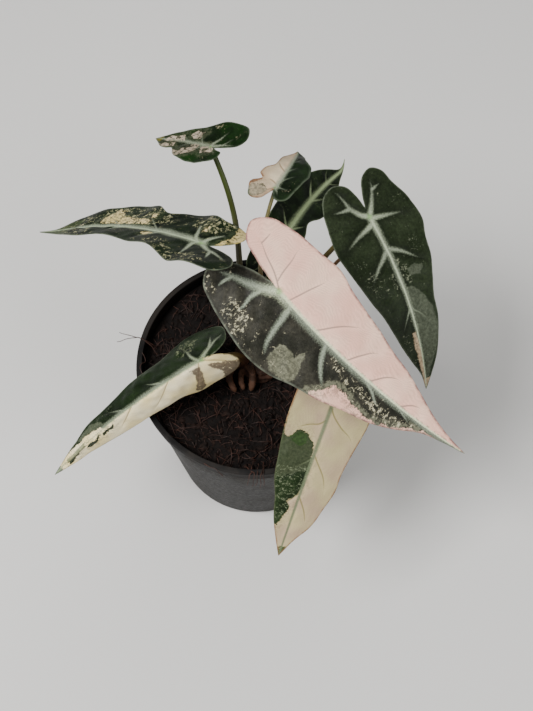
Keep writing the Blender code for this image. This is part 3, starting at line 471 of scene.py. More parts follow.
leaves = {
    "big": dict(
        junction=(11.5, 0.0, 180.0), tip=(96.0, -62.5, 140.0), facing=(-0.04, -0.46, 0.89),
        length=112.5, bow=4.5, sway=4.0, lobePitch=-6.0, twist=0.0, notch=5.5,
        fold=(4.0, 4.0), curl=(0.0, 0.0), wave=(1.0, 3.0, 0.1), hook=(0.0, 0.0),
        left=(25.0, 26.5, 24.0, 22.0, 20.0, 17.0, 14.5, 10.5, 6.0, 2.5), leftLobe=(11.0, 33.0, 22.0),
        right=(29.5, 30.5, 29.0, 24.5, 21.5, 17.5, 14.5, 9.5, 3.5, 1.2), rightLobe=(17.5, 29.5, 27.0),
        rib=(1.2, 0.35), frost=(3.4, 1.5), dim=0.15,
        veins=[
            ([(0, 0), (5, -5.5), (9.5, -14), (12, -19.5), (16, -26)], 3.1, 0.8),
            ([(5, -5.5), (12, -6.4), (17, -5.3), (22.5, -6)], 1.6, 0.3),
            ([(12, -19), (16.5, -20), (21, -20)], 1.2, 0.3),
            ([(0.5, 8.5), (8, 10), (15, 11.6), (20, 13.2), (25, 16.5)], 1.8, 0.95),
            ([(0.5, 31), (6.6, 34), (11.6, 38), (16.4, 43.5)], 1.5, 0.75),
            ([(0.5, 55), (3, 61), (5.4, 65), (7, 69)], 1.1, 0.4),
            ([(0.5, 75), (2.5, 80), (4, 84)], 0.8, 0.3),
            ([(0, 0), (-3.8, -8.3), (-6, -16.5), (-8, -22), (-9, -29)], 0.9, 0.3),
            ([(-8, -22), (-11, -22.2), (-15.6, -23)], 0.6, 0.2),
            ([(-2.4, -4), (-6, -5.2), (-12.8, -6.5), (-18, -8), (-22.5, -7.8)], 0.8, 0.2),
            ([(-0.5, 6), (-10.4, 8.6), (-17.2, 10.6), (-23, 12)], 0.8, 0.2),
            ([(-0.5, 24), (-10, 31), (-17.5, 40.5)], 0.8, 0.2),
            ([(-0.5, 43), (-6, 46), (-10.8, 49.5), (-13.4, 54)], 0.7, 0.2),
            ([(-0.5, 57), (-7, 62), (-10.4, 68.5)], 0.7, 0.2),
            ([(-0.3, 75), (-4, 79), (-5.6, 84)], 0.5, 0.2)],
        paleHalf="left",
        pale=[[(21.5, 40), (16.4, 44), (11.8, 46.8), (10.8, 52.6), (12.8, 57), (13.5, 64.5), (12, 75),
               (17, 75), (26, 60), (27, 42)],
              [(11.4, 73), (8.6, 78.4), (5.2, 84), (2.6, 90), (1.2, 97), (4, 98), (9, 88), (14, 76)]],
        sage=[[(15.6, 17), (14, 20.5), (15.4, 25.7), (9, 27.5), (16, 30.3), (21.4, 32.3), (26, 31),
               (27, 22), (24, 17)]],
        fleck=[(0.6, [(16, -13), (14, -4), (20, -1), (24, 6), (29, 5), (31, -8), (22, -14)]),
               (0.75, [(17, -27), (20, -22), (24, -17), (27, -24), (20, -30)]),
               (1.0, [(22.4, 1.2), (25.6, 1.4), (26.6, 4.6), (24, 4.4)]), (1.0, [(16.4, -0.6), (19, -1.4), (19.8, 0.8), (17.4, 1.6)]),
               (0.86, [(17, -9), (21, -13), (25, -8), (28.5, -2), (27, 3), (19, 1.5), (16.6, -3)]),
               (0.85, [(2, 36), (3, 44), (3.6, 53), (4, 62), (4, 74), (1.5, 88), (5, 92), (8, 84),
                       (11, 70), (9, 60), (8, 50), (7, 40)]),
               (0.4, [(18, 0), (16, 16), (26, 40), (30, 20), (29, 5)])],
        sparse=0.2,
        colours=dict(Green=(34, 34, 27), Green_two=(54, 52, 44), Pale=(238, 186, 164),
                     Pale_two=(246, 205, 180), Sage=(120, 120, 99), Silver=(132, 140, 122),
                     Rib=(220, 228, 188), Fleck=(186, 178, 148), Stain=(120, 92, 64), Line=(132, 112, 104),
                     Edge=(126, 88, 84), Under=(120, 116, 96)),
        tuning=dict(Fringe=0.8, Rib_on_pale=0.6, Ripples=0.08, Holes=0.48, Fleck_size=0.85, Heart=2.6, Edge_width=1.1)),
    "right": dict(
        junction=(54.0, 44.0, 172.0), tip=(83.5, -20.5, 118.0), facing=(0.26, -0.30, 0.92),
        length=89.0, bow=11.0, sway=-0.5, lobePitch=14.0, twist=10.0, notch=4.5,
        fold=(-4.0, 4.0), curl=(0.0, 0.0), wave=(0.8, 2.6, 0.3), hook=(0.0, 0.0),
        left=(24.0, 24.5, 21.0, 19.5, 16.5, 13.5, 12.5, 10.5, 8.0, 4.0), leftLobe=(11.5, 21.0, 18.5),
        right=(23.0, 24.0, 22.5, 20.5, 18.0, 14.5, 12.0, 9.5, 6.0, 2.0), rightLobe=(11.0, 19.5, 21.0),
        rib=(0.7, 0.25), frost=(2.1, 0.55), dim=0.6,
        veins=[
            ([(0, 0), (-2.4, -3), (-5.6, -8), (-7.2, -11.3), (-8.5, -17.5)], 1.6, 0.5),
            ([(-7.2, -11.3), (-10, -12), (-13.4, -12.8)], 1.0, 0.2),
            ([(0, 0), (3.2, -1.8), (7.6, -7), (9.2, -12.3), (12.6, -18.5)], 1.6, 0.5),
            ([(7.8, -6.8), (13.4, -7.2), (19, -8.3)], 1.1, 0.2),
            ([(-0.5, 1), (-9, 2.2), (-19.5, 3.7)], 1.4, 0.3),
            ([(-0.5, 16), (-6.8, 19.8), (-12, 24.4), (-15, 27)], 1.4, 0.3),
            ([(-0.5, 46), (-5, 51), (-7.5, 56)], 0.6, 0.2),
            ([(0.5, 3.5), (4.4, 4.8), (10.2, 6.6), (16.8, 9.5), (20.5, 11)], 1.4, 0.3),
            ([(0.5, 17), (3.8, 19.6), (9, 23.7), (13.4, 28.4), (15, 31)], 1.4, 0.3),
            ([(0.5, 46), (4.8, 52.3), (7.5, 57)], 0.7, 0.2)],
        sage=[[(-0.8, 35.5), (-4, 36), (-7.4, 39.5), (-10.6, 48), (-11.5, 57), (-9, 67), (-4, 77),
               (-0.8, 84), (-0.8, 60)],
              [(-5, 28), (-9.6, 27.2), (-13.4, 28.6), (-11, 32.6), (-5, 31.2)]],
        stain=[[(0.6, 57.5), (2.6, 58), (3, 66), (2, 74), (1, 84), (0, 84), (0.2, 70)],
               [(-3, 83), (3, 83), (2, 90), (-2, 90)]],
        fleck=[(0.6, [(7, 26), (6, 36), (13, 36), (18, 30), (17, 18), (13, 18)]),
               (0.6, [(-21, -5), (-15, -5), (-17, 1), (-22, 1)]), (0.75, [(-1.5, 20), (-6, 22), (-6, 34), (-1.5, 36)]),
               (0.65, [(-11, 14), (-17, 14), (-17, 22), (-11, 22)]),
               (0.8, [(1.5, 26), (5, 28), (4.5, 38), (1, 36)]),
               (0.6, [(4, 56), (9, 56), (5, 74), (2.5, 74)])],
        sparse=0.22,
        colours=dict(Green=(28, 36, 20), Green_two=(38, 46, 29), Pale=(184, 164, 122),
                     Pale_two=(184, 164, 122), Sage=(80, 86, 70), Silver=(124, 132, 112), Rib=(178, 190, 158),
                     Fleck=(128, 132, 108), Stain=(178, 156, 126), Line=(140, 120, 100), Edge=(84, 98, 80),
                     Under=(70, 82, 56)),
        tuning=dict(Fringe=0.0, Ragged=0.55, Holes=0.25)),
    "left": dict(
        junction=(-24.0, 22.5, 184.0), tip=(-104.0, 46.5, 152.0), facing=(0.05, 0.51, 0.86),
        length=90.0, bow=5.0, sway=3.0, lobePitch=3.0, twist=-3.0, notch=4.5,
        fold=(8.0, 3.0), curl=(0.0, 0.0), wave=(1.6, 3.2, 0.2), hook=(1.5, 0.0),
        left=(25.0, 21.0, 17.5, 17.0, 14.5, 13.0, 12.0, 11.5, 9.0, 3.5), leftLobe=(13.5, 25.0, 23.5),
        right=(20.5, 23.5, 21.0, 16.0, 22.0, 23.0, 17.0, 15.5, 10.0, 1.5), rightLobe=(12.5, 15.5, 20.5),
        rib=(0.8, 0.3), frost=(3.4, 0.9), dim=0.35,
        veins=[
            ([(0, 0), (2.6, -0.6), (7, -3.4), (11, -7)], 1.9, 0.8),
            ([(0.5, 2.5), (2.2, 4.2), (7.8, 6.5), (13.4, 8.7), (16.8, 10)], 1.2, 0.3),
            ([(0, 0), (-5.6, -8.4), (-7.8, -15), (-10.8, -21)], 1.9, 0.5),
            ([(-6.8, -9.5), (-12.4, -11.4), (-16.4, -12.8)], 1.0, 0.2),
            ([(-0.5, 2.5), (-5.2, 2.4), (-12.6, 1.3), (-18.4, 0.8)], 1.5, 0.3),
            ([(0.5, 24), (8.4, 31.5), (14.4, 37.3)], 0.6, 0.2),
            ([(-0.5, 22), (-7, 27), (-13, 31)], 1.0, 0.2),
            ([(0.5, 45), (6, 51), (10, 56)], 0.8, 0.2),
            ([(-0.5, 44), (-5, 49), (-8, 53)], 0.8, 0.2)],
        pale=[[(3.5, 58.5), (8, 57), (12, 54), (15.5, 52.5), (15.2, 48.5), (9.4, 47.5), (8, 32),
               (4, 32), (2.6, 43.5), (2.4, 52)],
              [(2, -6.5), (6, -8.5), (9.5, -10), (13, -9.5), (17, -8), (21, -8), (24, -10), (18, -19),
               (7, -18), (0.8, -9)],
              [(10, 30.5), (13.4, 31), (13, 33.4), (10, 33.4)],
              [(8.6, 2.6), (12.6, 3.6), (13, 5.4), (8.8, 4.8)],
              [(-3, 24.6), (-6.6, 25.4), (-6.4, 28.8), (-3, 28)]],
        stain=[[(-9, 73), (8, 67), (5, 84), (0, 92), (-5, 86)]],
        fleck=[(0.85, [(12, -6), (8, 2), (10, 12), (20, 14), (24, 4), (22, -8)]),
               (0.75, [(-8, 22), (-6, 12), (-16, 6), (-12, -4), (-17, -14), (-25, -12), (-25, 6),
                       (-20, 16), (-14, 26)]),
               (0.75, [(2, 24), (10, 18), (20, 24), (19, 60), (3, 60)]),
               (0.75, [(-12, 58), (12, 58), (6, 80), (-8, 80)])],
        sparse=0.38,
        colours=dict(Green=(9, 20, 6), Green_two=(17, 31, 10), Pale=(228, 208, 152), Pale_two=(216, 196, 130),
                     Sage=(84, 94, 66), Silver=(142, 150, 128), Rib=(176, 190, 154), Fleck=(172, 166, 128),
                     Stain=(60, 74, 36), Line=(130, 112, 70), Edge=(170, 150, 60), Under=(76, 88, 60)),
        tuning=dict(Fringe=0.35, Stain_strength=0.6, Holes=1.0, Fleck_size=0.85)),
    "lower_left": dict(
        junction=(-25.0, -14.5, 138.0), tip=(-99.0, -55.5, 92.0), facing=(-0.15, -0.39, 0.91),
        length=96.5, bow=6.0, sway=2.5, lobePitch=4.0, twist=-16.0, notch=5.0,
        fold=(-45.0, -44.0), curl=(-30.0, -28.0), wave=(0.6, 3.0, 0.0), hook=(0.0, 0.0),
        left=(21.0, 22.0, 17.5, 17.5, 16.0, 15.5, 13.5, 10.5, 7.0, 3.0), leftLobe=(11.5, 14.5, 20.0),
        right=(31.5, 25.5, 19.0, 17.5, 16.0, 12.5, 10.5, 9.5, 5.5, 2.0), rightLobe=(12.5, 15.5, 27.5),
        rib=(0.9, 0.3), frost=(3.0, 1.2), dim=0.4,
        veins=[
            ([(0, 0), (1.8, -0.8), (5.6, -4.9), (9.2, -9.6), (12.4, -14.8)], 1.9, 0.7),
            ([(6, -5.5), (12, -7), (18, -8)], 1.0, 0.2),
            ([(0.5, 1.2), (6.6, 4), (11, 4.8), (18, 7)], 1.1, 0.3),
            ([(0.5, 21), (3.4, 25), (9, 32)], 1.0, 0.2),
            ([(0.5, 44), (5, 51), (8, 56)], 0.8, 0.2),
            ([(0, 0), (-4, -5), (-9, -10.5), (-11.5, -14.5)], 0.6, 0.2),
            ([(-0.5, 2), (-9, 6), (-16, 10)], 0.4, 0.2),
            ([(-0.5, 19), (-8, 28), (-13, 36)], 0.4, 0.2),
            ([(-0.5, 41), (-6, 50), (-9, 56)], 0.4, 0.2)],
        paleHalf="left",
        pale=[[(-1, 57), (1.6, 60), (3.4, 66), (3.2, 73), (3, 84), (3, 98), (-1, 98)]],
        sage=[[(1.5, 56), (5, 60), (8, 66), (5, 76), (3.2, 73), (3, 66)], [(-2, 90), (2, 88), (1.5, 98), (-1.5, 98)]],
        dark=[[(-1.7, 53.5), (-4, 56), (-3.8, 62), (-2.1, 61)], [(-1.9, 63.5), (-4.4, 66), (-4.2, 72), (-2.2, 73)],
              [(-0.9, 76), (-2.6, 79), (-2.2, 86), (-0.8, 84)], [(-3, 91.5), (3, 90.5), (3, 98), (-3, 98)]],
        stain=[[(-4.4, -1.5), (-5.4, -5), (-9, -10), (-13, -15.5), (-19, -13), (-22.5, -8), (-20, -3),
                (-14, -5), (-9, -3)],
               [(-1.5, 8), (-3, 2.6), (-9, 3.4), (-13, 5), (-18, 5), (-21, 9), (-18, 12), (-12, 8.5),
                (-7, 6.5)]],
        fleck=[(0.85, [(10, 3), (10, 9), (18, 12), (25, 6), (22, -2), (14, 0)]),
               (0.7, [(2, 23), (6, 24), (6, 28), (2, 27)]),
               (0.55, [(2, 50), (10, 50), (7, 70), (2, 70)])],
        sparse=0.14,
        colours=dict(Green=(19, 31, 13), Green_two=(28, 42, 20), Pale=(255, 242, 202),
                     Pale_two=(246, 226, 164), Sage=(92, 98, 78), Silver=(132, 140, 118), Rib=(150, 164, 126),
                     Fleck=(110, 116, 86), Stain=(100, 86, 74), Line=(160, 138, 92), Edge=(110, 96, 66),
                     Under=(110, 112, 80)),
        tuning=dict(Fringe=0.3, Rib_on_pale=0.55, Ragged=0.9, Holes=0.3, Ripples=0.03)),
    "front": dict(
        junction=(43.5, -17.5, 136.0), tip=(11.5, -93.5, 82.0), facing=(0.07, -0.59, 0.80),
        length=98.5, bow=6.0, sway=1.5, lobePitch=0.0, twist=4.0, notch=5.0,
        fold=(-7.0, 0.0), curl=(0.0, 0.0), wave=(0.9, 2.8, 0.5), hook=(0.0, 0.0),
        left=(16.5, 19.0, 20.5, 19.5, 17.5, 16.0, 16.0, 13.5, 10.5, 4.5), leftLobe=(7.5, 19.0, 15.0),
        right=(17.0, 18.0, 18.5, 18.5, 17.5, 16.0, 14.5, 11.0, 8.5, 4.5), rightLobe=(9.5, 22.0, 16.5),
        rib=(1.8, 0.5), frost=(1.4, 0.4),
        veins=[
            ([(0, 0), (-5, -9), (-9, -18), (-12, -26)], 1.0, 0.3),
            ([(0, 0), (5, -9), (9, -18), (12, -25)], 1.0, 0.3),
            ([(-3, -5), (-9, -6), (-15, -6)], 0.6, 0.2),
            ([(3, -5), (9, -6), (15, -6)], 0.6, 0.2),
            ([(0.5, 8), (8, 11), (15, 16)], 0.6, 0.2),
            ([(-0.5, 6), (-8, 9), (-16, 14)], 0.6, 0.2),
            ([(0.5, 26.5), (2.4, 28.6), (7, 30.4), (14, 34.6)], 0.6, 0.2),
            ([(-0.5, 20), (-1.8, 22), (-7.8, 27.2), (-14.8, 31.7), (-16.5, 35.5)], 0.6, 0.2),
            ([(-0.5, 44), (-3, 47), (-8, 53.2), (-11.4, 62)], 0.6, 0.2),
            ([(0.5, 46), (6, 52), (11, 59)], 0.6, 0.2),
            ([(0.5, 64), (5, 70), (8, 77)], 0.5, 0.2),
            ([(-0.5, 66), (-5, 73), (-7.5, 80)], 0.5, 0.2)],
        paleHalf="both",
        sageOnPale=True,
        sage=[[(20.5, 29.5), (18.4, 32.5), (17, 38.4), (14.6, 39), (12.6, 36.5), (10.2, 34), (6.4, 35),
               (2.4, 38.3), (0.8, 43.7), (-0.2, 51.5), (9, 56.2), (13.5, 58), (17, 56), (20, 46)]],
        dark=[[(17, 54.5), (9, 53.5), (0.4, 50.5), (-0.4, 59.4), (0.8, 64.5), (5, 69.5), (2.5, 71.5),
               (3.5, 75), (6, 83), (11, 81), (15, 70)]],
        stain=[[(14.4, 38.6), (12, 36.6), (9, 35), (6, 36.4), (5.4, 39.5), (8, 41.6), (12, 40.8)],
               [(-1.5, 93), (1.5, 93), (1.5, 100), (-1.5, 100)]],
        fleck=[(0.8, [(17, 57), (1, 53), (1, 66), (4, 76), (7, 83), (12, 81), (16, 68)]),
               (0.95, [(18, 53.5), (9, 52), (1, 49.5), (1, 52.5), (9, 55.5), (18, 57)])],
        sparse=0.0,
        colours=dict(Green=(26, 40, 18), Green_two=(40, 54, 30), Pale=(188, 174, 130),
                     Pale_two=(178, 156, 128), Sage=(66, 73, 52), Silver=(92, 100, 74), Rib=(106, 116, 88),
                     Fleck=(108, 116, 90), Stain=(46, 66, 32), Line=(118, 112, 62), Edge=(130, 92, 62),
                     Under=(140, 126, 86)),
        tuning=dict(Fringe=0.0, Rib_on_pale=0.9, Ragged=0.85, Holes=0.2, Ripples=0.03, Edge_width=0.9)),
    "top": dict(
        junction=(-19.5, 59.5, 206.0), tip=(-46.0, 75.0, 191.0), facing=(-0.25, 0.25, 0.94),
        length=34.0, bow=0.5, sway=0.5, lobePitch=-1.0, twist=-4.0, notch=1.5,
        fold=(4.0, 8.0), curl=(0.0, 0.0), wave=(0.8, 2.0, 0.2), hook=(0.0, 0.0),
        left=(11.5, 11.5, 12.0, 11.5, 10.5, 8.5, 5.0, 5.5, 5.0, 2.5), leftLobe=(4.5, 8.0, 10.0),
        right=(14.5, 13.0, 11.5, 9.5, 8.0, 6.5, 5.0, 4.0, 2.5, 1.2), rightLobe=(8.5, 15.5, 16.5),
        rib=(0.5, 0.2), frost=(1.5, 0.5), dim=0.5,
        veins=[
            ([(0, 0), (1.6, -0.2), (5.2, -2.2), (9, -3.6), (12.5, -4.8)], 1.0, 0.2),
            ([(0, -0.3), (0.8, -1.8), (2.6, -6.1), (3.6, -9.5), (4.6, -13)], 1.0, 0.3),
            ([(2.8, -5.8), (6, -7.6), (8.2, -9.2)], 0.6, 0.2),
            ([(0, 0), (-2, -2), (-3.5, -5.5)], 0.9, 0.3),
            ([(0.3, 5), (5, 9), (8, 12)], 0.6, 0.2),
            ([(-0.3, 4), (-5, 8), (-8, 11)], 0.7, 0.2),
            ([(0.2, 13), (3, 18), (4.5, 21)], 0.5, 0.2),
            ([(-0.2, 12), (-4, 17), (-5.5, 20)], 0.5, 0.2)],
        pale=[[(-0.6, 28), (2.2, 25), (2, 21), (3.6, 17.4), (0.4, 16.2), (-0.8, 20), (-1.2, 25)],
              [(4, 14.4), (7.2, 12), (6.4, 9.6), (7.4, 7.4), (5, 8.4), (2.8, 8), (2, 11.8)],
              [(-6, 20), (-7.2, 14), (-1, 10.6), (0.6, 8.6), (-0.4, 5.8), (-3.4, 6), (-7, 8.2), (-10, 12),
               (-10.4, 17)],
              [(-3.4, 30), (-1.4, 20), (-3.8, 19.8), (-5.6, 26)],
              [(-1, 4.6), (0.4, 1), (-0.6, -2), (-2.8, -3), (-4.6, -1), (-5.4, 2), (-3, 4)]],
        dark=[[(-4.8, 17.6), (-5.6, 14), (-3.8, 10.4), (-2.2, 8.2), (-1.8, 9), (-3, 11.4), (-4.2, 14.4)],
              [(-2.6, 27), (-2.8, 23), (-1.9, 20.6), (-1.8, 24)], [(-2.6, 3.4), (-2.8, 0.6), (-1.9, -1), (-2, 2)]],
        stain=[[(-2, 30), (2, 29), (1, 35), (-1, 35)]],
        fleck=[(0.8, [(9, 3), (11, -1), (14, 1), (11, 6)]), (0.8, [(7, -9), (11, -8), (10, -12), (7, -11)]),
               (0.7, [(-8, -4), (-5, -2), (-8, 1), (-11, -2)])],
        sparse=0.2,
        colours=dict(Green=(9, 22, 5), Green_two=(17, 42, 9), Pale=(150, 136, 116), Pale_two=(182, 166, 146),
                     Sage=(88, 92, 70), Silver=(116, 122, 104), Rib=(120, 128, 104), Fleck=(140, 132, 104),
                     Stain=(100, 94, 40), Line=(110, 100, 80), Edge=(120, 116, 92), Under=(60, 78, 40)),
        tuning=dict(Fringe=0.4, Ragged=0.4, Fleck_size=1.2, Holes=0.9, Heart=1.0)),
    "small": dict(
        junction=(9.5, 48.5, 190.0), tip=(20.5, 79.5, 172.0), facing=(0.04, 0.13, 0.99),
        length=37.5, bow=4.0, sway=1.5, lobePitch=14.0, twist=1.0, notch=2.0,
        fold=(-6.0, 4.0), curl=(0.0, 0.0), wave=(0.8, 2.0, 0.0), hook=(1.5, 0.0),
        left=(12.0, 8.5, 11.0, 10.0, 6.5, 6.0, 6.0, 5.5, 3.5, 2.0), leftLobe=(5.5, 11.0, 10.5),
        right=(9.5, 10.5, 11.0, 11.5, 11.0, 10.0, 7.5, 5.5, 4.5, 3.0), rightLobe=(5.5, 8.5, 9.0),
        rib=(1.6, 0.6), frost=(2.0, 0.9),
        veins=[
            ([(0.3, 3), (1.6, 5), (4, 7.7), (7, 10.5)], 0.7, 0.2),
            ([(0.3, 10), (1.4, 12), (3.6, 15.5), (5, 18)], 0.7, 0.2),
            ([(0.2, 20), (3, 24), (4, 27)], 0.5, 0.2),
            ([(0, 0), (2.5, -3), (4.5, -6.5)], 0.8, 0.2),
            ([(0.3, 0.5), (4, 0.5), (8, 1)], 0.6, 0.2),
            ([(0, 0), (-2.5, -3.5), (-4.5, -8)], 0.7, 0.2),
            ([(-0.3, 2), (-4.8, 3.8), (-7, 3.6)], 0.5, 0.2),
            ([(-0.3, 11), (-4, 15), (-6, 19)], 0.5, 0.2)],
        paleHalf="left",
        sageOnPale=True,
        sage=[[(-12, -9.5), (-6, -10.5), (-3, -7), (-2.4, -3), (-6, -0.6), (-10, -2.4), (-12, -6)]],
        stain=[[(-13, 1.5), (-9.5, 3.8), (-7.6, 2.2), (-9, 0.2), (-10.4, -2.4), (-13, -3.4)]],
        fleck=[(0.5, [(4, -2), (8, -2), (9, 4), (5, 4)])],
        sparse=0.1,
        colours=dict(Green=(10, 23, 5), Green_two=(18, 38, 9), Pale=(204, 188, 158), Pale_two=(188, 162, 132),
                     Sage=(172, 158, 132), Silver=(112, 122, 102), Rib=(142, 148, 126), Fleck=(110, 110, 78),
                     Stain=(112, 68, 36), Line=(130, 104, 76), Edge=(126, 84, 52), Under=(78, 84, 50)),
        tuning=dict(Fringe=0.3, Ragged=0.9, Stain_strength=0.75, Holes=0.2, Heart=1.0, Edge_width=1.3)),
    "back": dict(
        junction=(11.0, 51.5, 130.0), tip=(51.0, 119.5, 104.0), facing=(0.39, -0.10, 0.91),
        length=80.0, bow=2.5, sway=-3.5, lobePitch=1.0, twist=-3.0, notch=4.0,
        fold=(10.0, 7.0), curl=(0.0, 0.0), wave=(1.2, 3.0, 0.4), hook=(1.5, -4.5),
        left=(12.0, 13.0, 13.5, 13.5, 13.5, 13.0, 11.5, 9.0, 5.0, 1.2), leftLobe=(8.0, 22.5, 12.0),
        right=(11.5, 11.0, 9.0, 6.5, 10.0, 11.5, 10.5, 8.0, 4.0, 1.2), rightLobe=(12.0, 22.5, 14.0),
        rib=(1.6, 0.5), frost=(2.7, 1.0),
        veins=[
            ([(0, 0), (-3.5, -7), (-6, -14), (-7.5, -20)], 1.5, 0.4),
            ([(0, 0), (4, -7), (7, -13), (10, -19)], 1.5, 0.4),
            ([(-0.5, 0), (-6, 3), (-11, 9)], 0.9, 0.2),
            ([(0.5, 0), (5, 2), (9, 6)], 0.9, 0.2),
            ([(-0.5, 12), (-2.4, 14.4), (-6, 17.8), (-10.5, 22.6)], 1.0, 0.3),
            ([(0.5, 14), (4.2, 18.6), (7, 22)], 0.9, 0.3),
            ([(-0.5, 39), (-2.8, 42), (-5.6, 45.9), (-8, 50.5)], 1.0, 0.3),
            ([(0.5, 38), (2.4, 41), (5.8, 46.6)], 0.9, 0.3),
            ([(-0.5, 56), (-4, 60), (-6, 64)], 0.6, 0.2),
            ([(0.5, 56), (4, 60), (5.5, 64)], 0.6, 0.2)],
        fleck=[(0.75, [(2, 36), (8, 38), (10, 54), (3, 56)]), (0.6, [(-12, 10), (-5, 14), (-6, 26), (-13, 24)]),
               (0.6, [(-10, 44), (-3, 46), (-3, 60), (-9, 60)])],
        sparse=0.25,
        colours=dict(Green=(13, 20, 9), Green_two=(29, 42, 21), Pale=(150, 150, 110),
                     Pale_two=(150, 150, 110), Sage=(58, 68, 46), Silver=(124, 136, 102), Rib=(150, 166, 122),
                     Fleck=(66, 78, 50), Stain=(90, 100, 50), Line=(90, 100, 60), Edge=(72, 86, 56),
                     Under=(60, 72, 44)),
        tuning=dict(Fringe=0.0)),
}


def marginPoints(leaf, side):
    # From the notch at the stalk round the lobe, then through the half widths to the tip.
    widths, notch = leaf[side], leaf["notch"]
    across, back, shoulder = leaf[side + "Lobe"]
    bulge = lobeRoundness * widths[0]
    points = [(0.0, -notch), (0.42 * max(across - bulge, 1.0) + 0.6, -(0.5 * back + 0.3 * notch)),
              (across - 0.72 * bulge, -0.88 * back), (across, -back),
              (across + 0.65 * (shoulder - across), -0.86 * back), (shoulder, -0.55 * back)]
    points += [(width, share * leaf["length"]) for width, share in zip(widths, leafStations)]
    return points + [(0.0, leaf["length"])]


def outerMargin(leaf, side, count):
    return smoothLine(marginPoints(leaf, side), count, first=3)


def innerMargin(leaf, side, count):
    return smoothLine(marginPoints(leaf, side), count, last=3)[::-1]


def bladeSheet(leaf):
    # Both halves as grids of flat points: rows follow the rib, columns run from it to the margin.
    spacing = blade["spacing"]
    points, triangles, total = [], [], 0
    for side, sign in (("left", -1.0), ("right", 1.0)):
        across, back = leaf[side + "Lobe"][:2]
        lobeRows = round(1.15 * math.hypot(across, back) / spacing)
        midRows = round(leaf["length"] / spacing)
        outerColumns = round(0.85 * max(leaf[side]) / spacing)
        innerColumns = round(0.45 * leaf[side][0] / spacing)
        lobeShare = np.linspace(0.0, 1.0, lobeRows + 1)
        midShare = np.linspace(0.0, 1.0, midRows + 1)[1:]
        away = 1.0 - lobeShare
        lobeRib = np.stack([across * (1.15 * away - 0.15 * away**2), -back * (0.72 * away + 0.28 * away**2)], -1)
        midRib = np.stack([0 * midShare, leaf["length"] * midShare], -1)
        spine = np.concatenate([lobeRib, midRib])
        margin = outerMargin(leaf, side, 2000)
        shoulder = np.argmax(margin[:, 1] > 0.08 * leaf["length"]) / 1999.0
        run = np.concatenate([shoulder * lobeShare**0.8, shoulder + (1.0 - shoulder) * midShare]) * 1999
        edge = np.stack([np.interp(run, np.arange(2000), margin[:, axis]) for axis in range(2)], -1)
        column = np.linspace(0.0, 1.0, outerColumns + 1)[None, :, None]
        outer = spine[:, None] + (edge - spine)[:, None] * column
        inside = innerMargin(leaf, side, lobeRows + 1)
        column = np.linspace(0.0, 1.0, innerColumns + 1)[None, :, None]
        inner = lobeRib[:, None] + (inside - lobeRib)[:, None] * column
        for sheet, turned in ((outer, sign < 0), (inner, sign > 0)):
            cellsOf = gridTriangles(*sheet.shape[:2])
            triangles.append((cellsOf[:, ::-1] if turned else cellsOf) + total)
            points.append((sheet * [sign, 1.0]).reshape(-1, 2))
            total += len(points[-1])
    points = np.concatenate(points)
    merged, number = np.unique(np.round(points, 5) + 0.0, axis=0, return_inverse=True)
    triangles = number.reshape(-1)[np.concatenate(triangles)]
    a, b, c = triangles.T
    return merged, triangles[(a != b) & (b != c) & (a != c)]


def ribFrame(leaf, share):
    # The rib is the chord from stalk to tip plus a parabola of its bow and sway, straight in the lobes.
    junction = np.array(leaf["junction"])
    chord = np.array(leaf["tip"]) - junction
    along = unit(chord)
    facing = np.array(leaf["facing"])
    facing = unit(facing - along * (facing @ along))
    side = np.cross(along, facing)
    bend = facing * leaf["bow"] + side * leaf["sway"]
    ahead = np.clip(share, 0.0, None)[:, None]
    centre = junction + chord * ahead + bend * (4.0 * ahead * (1.0 - ahead))
    hook = np.clip((ahead - hookStart) / (1.0 - hookStart), 0.0, None)
    centre = centre + (facing * leaf["hook"][0] + side * leaf["hook"][1]) * hook**2
    direction = unit(chord + bend * (4.0 - 8.0 * ahead))
    start = unit(chord + bend * 4.0)
    startUp = np.cross(unit(np.cross(start, facing)), start)
    pitch = math.radians(leaf["lobePitch"])
    backwards = math.sin(pitch) * startUp - math.cos(pitch) * start
    behind = np.clip(-share, 0.0, None)[:, None] * leaf["length"]
    centre = centre + backwards * behind
    direction = np.where(behind > 0.0, -backwards, direction)
    turn = np.radians(leaf["twist"]) * np.clip(share, -0.3, 1.0)[:, None]
    upward = facing * np.cos(turn) + side * np.sin(turn)
    sideways = unit(np.cross(direction, upward))
    return centre, sideways, np.cross(sideways, direction)


def bendBlade(leaf, flat):
    # Each half leaves the rib at its fold angle, curls on as an arc, and waves at the margin.
    right = flat[:, 0] >= 0.0
    across, share = np.abs(flat[:, 0]), flat[:, 1] / leaf["length"]
    centre, sideways, upward = ribFrame(leaf, share)
    widest = np.where(right, max(leaf["right"]), max(leaf["left"]))
    opening = np.clip((share - foldOpens) / (1.0 - foldOpens), 0.0, 1.0)
    start = np.radians(np.where(right, leaf["fold"][1], leaf["fold"][0])) * (1.0 - 0.8 * opening)
    rate = np.radians(np.where(right, leaf["curl"][1] or 0.01, leaf["curl"][0] or 0.01)) / widest
    angle = start + rate * across
    reach = (np.sin(angle) - np.sin(start)) / rate * np.where(right, 1.0, -1.0)
    lift = (np.cos(start) - np.cos(angle)) / rate
    height, waves, phase = leaf["wave"]
    phase = phase + np.where(right, 0.0, 0.37)
    lift = lift + height * (across / widest) ** 2 * np.sin(2 * math.pi * (waves * share + phase))
    ridge = blade["ridgeRound"] * np.abs(np.tan(start)) * np.exp(-(across / 1.3) ** 2)
    return centre + sideways * reach[:, None] + upward * (lift - ridge)[:, None]


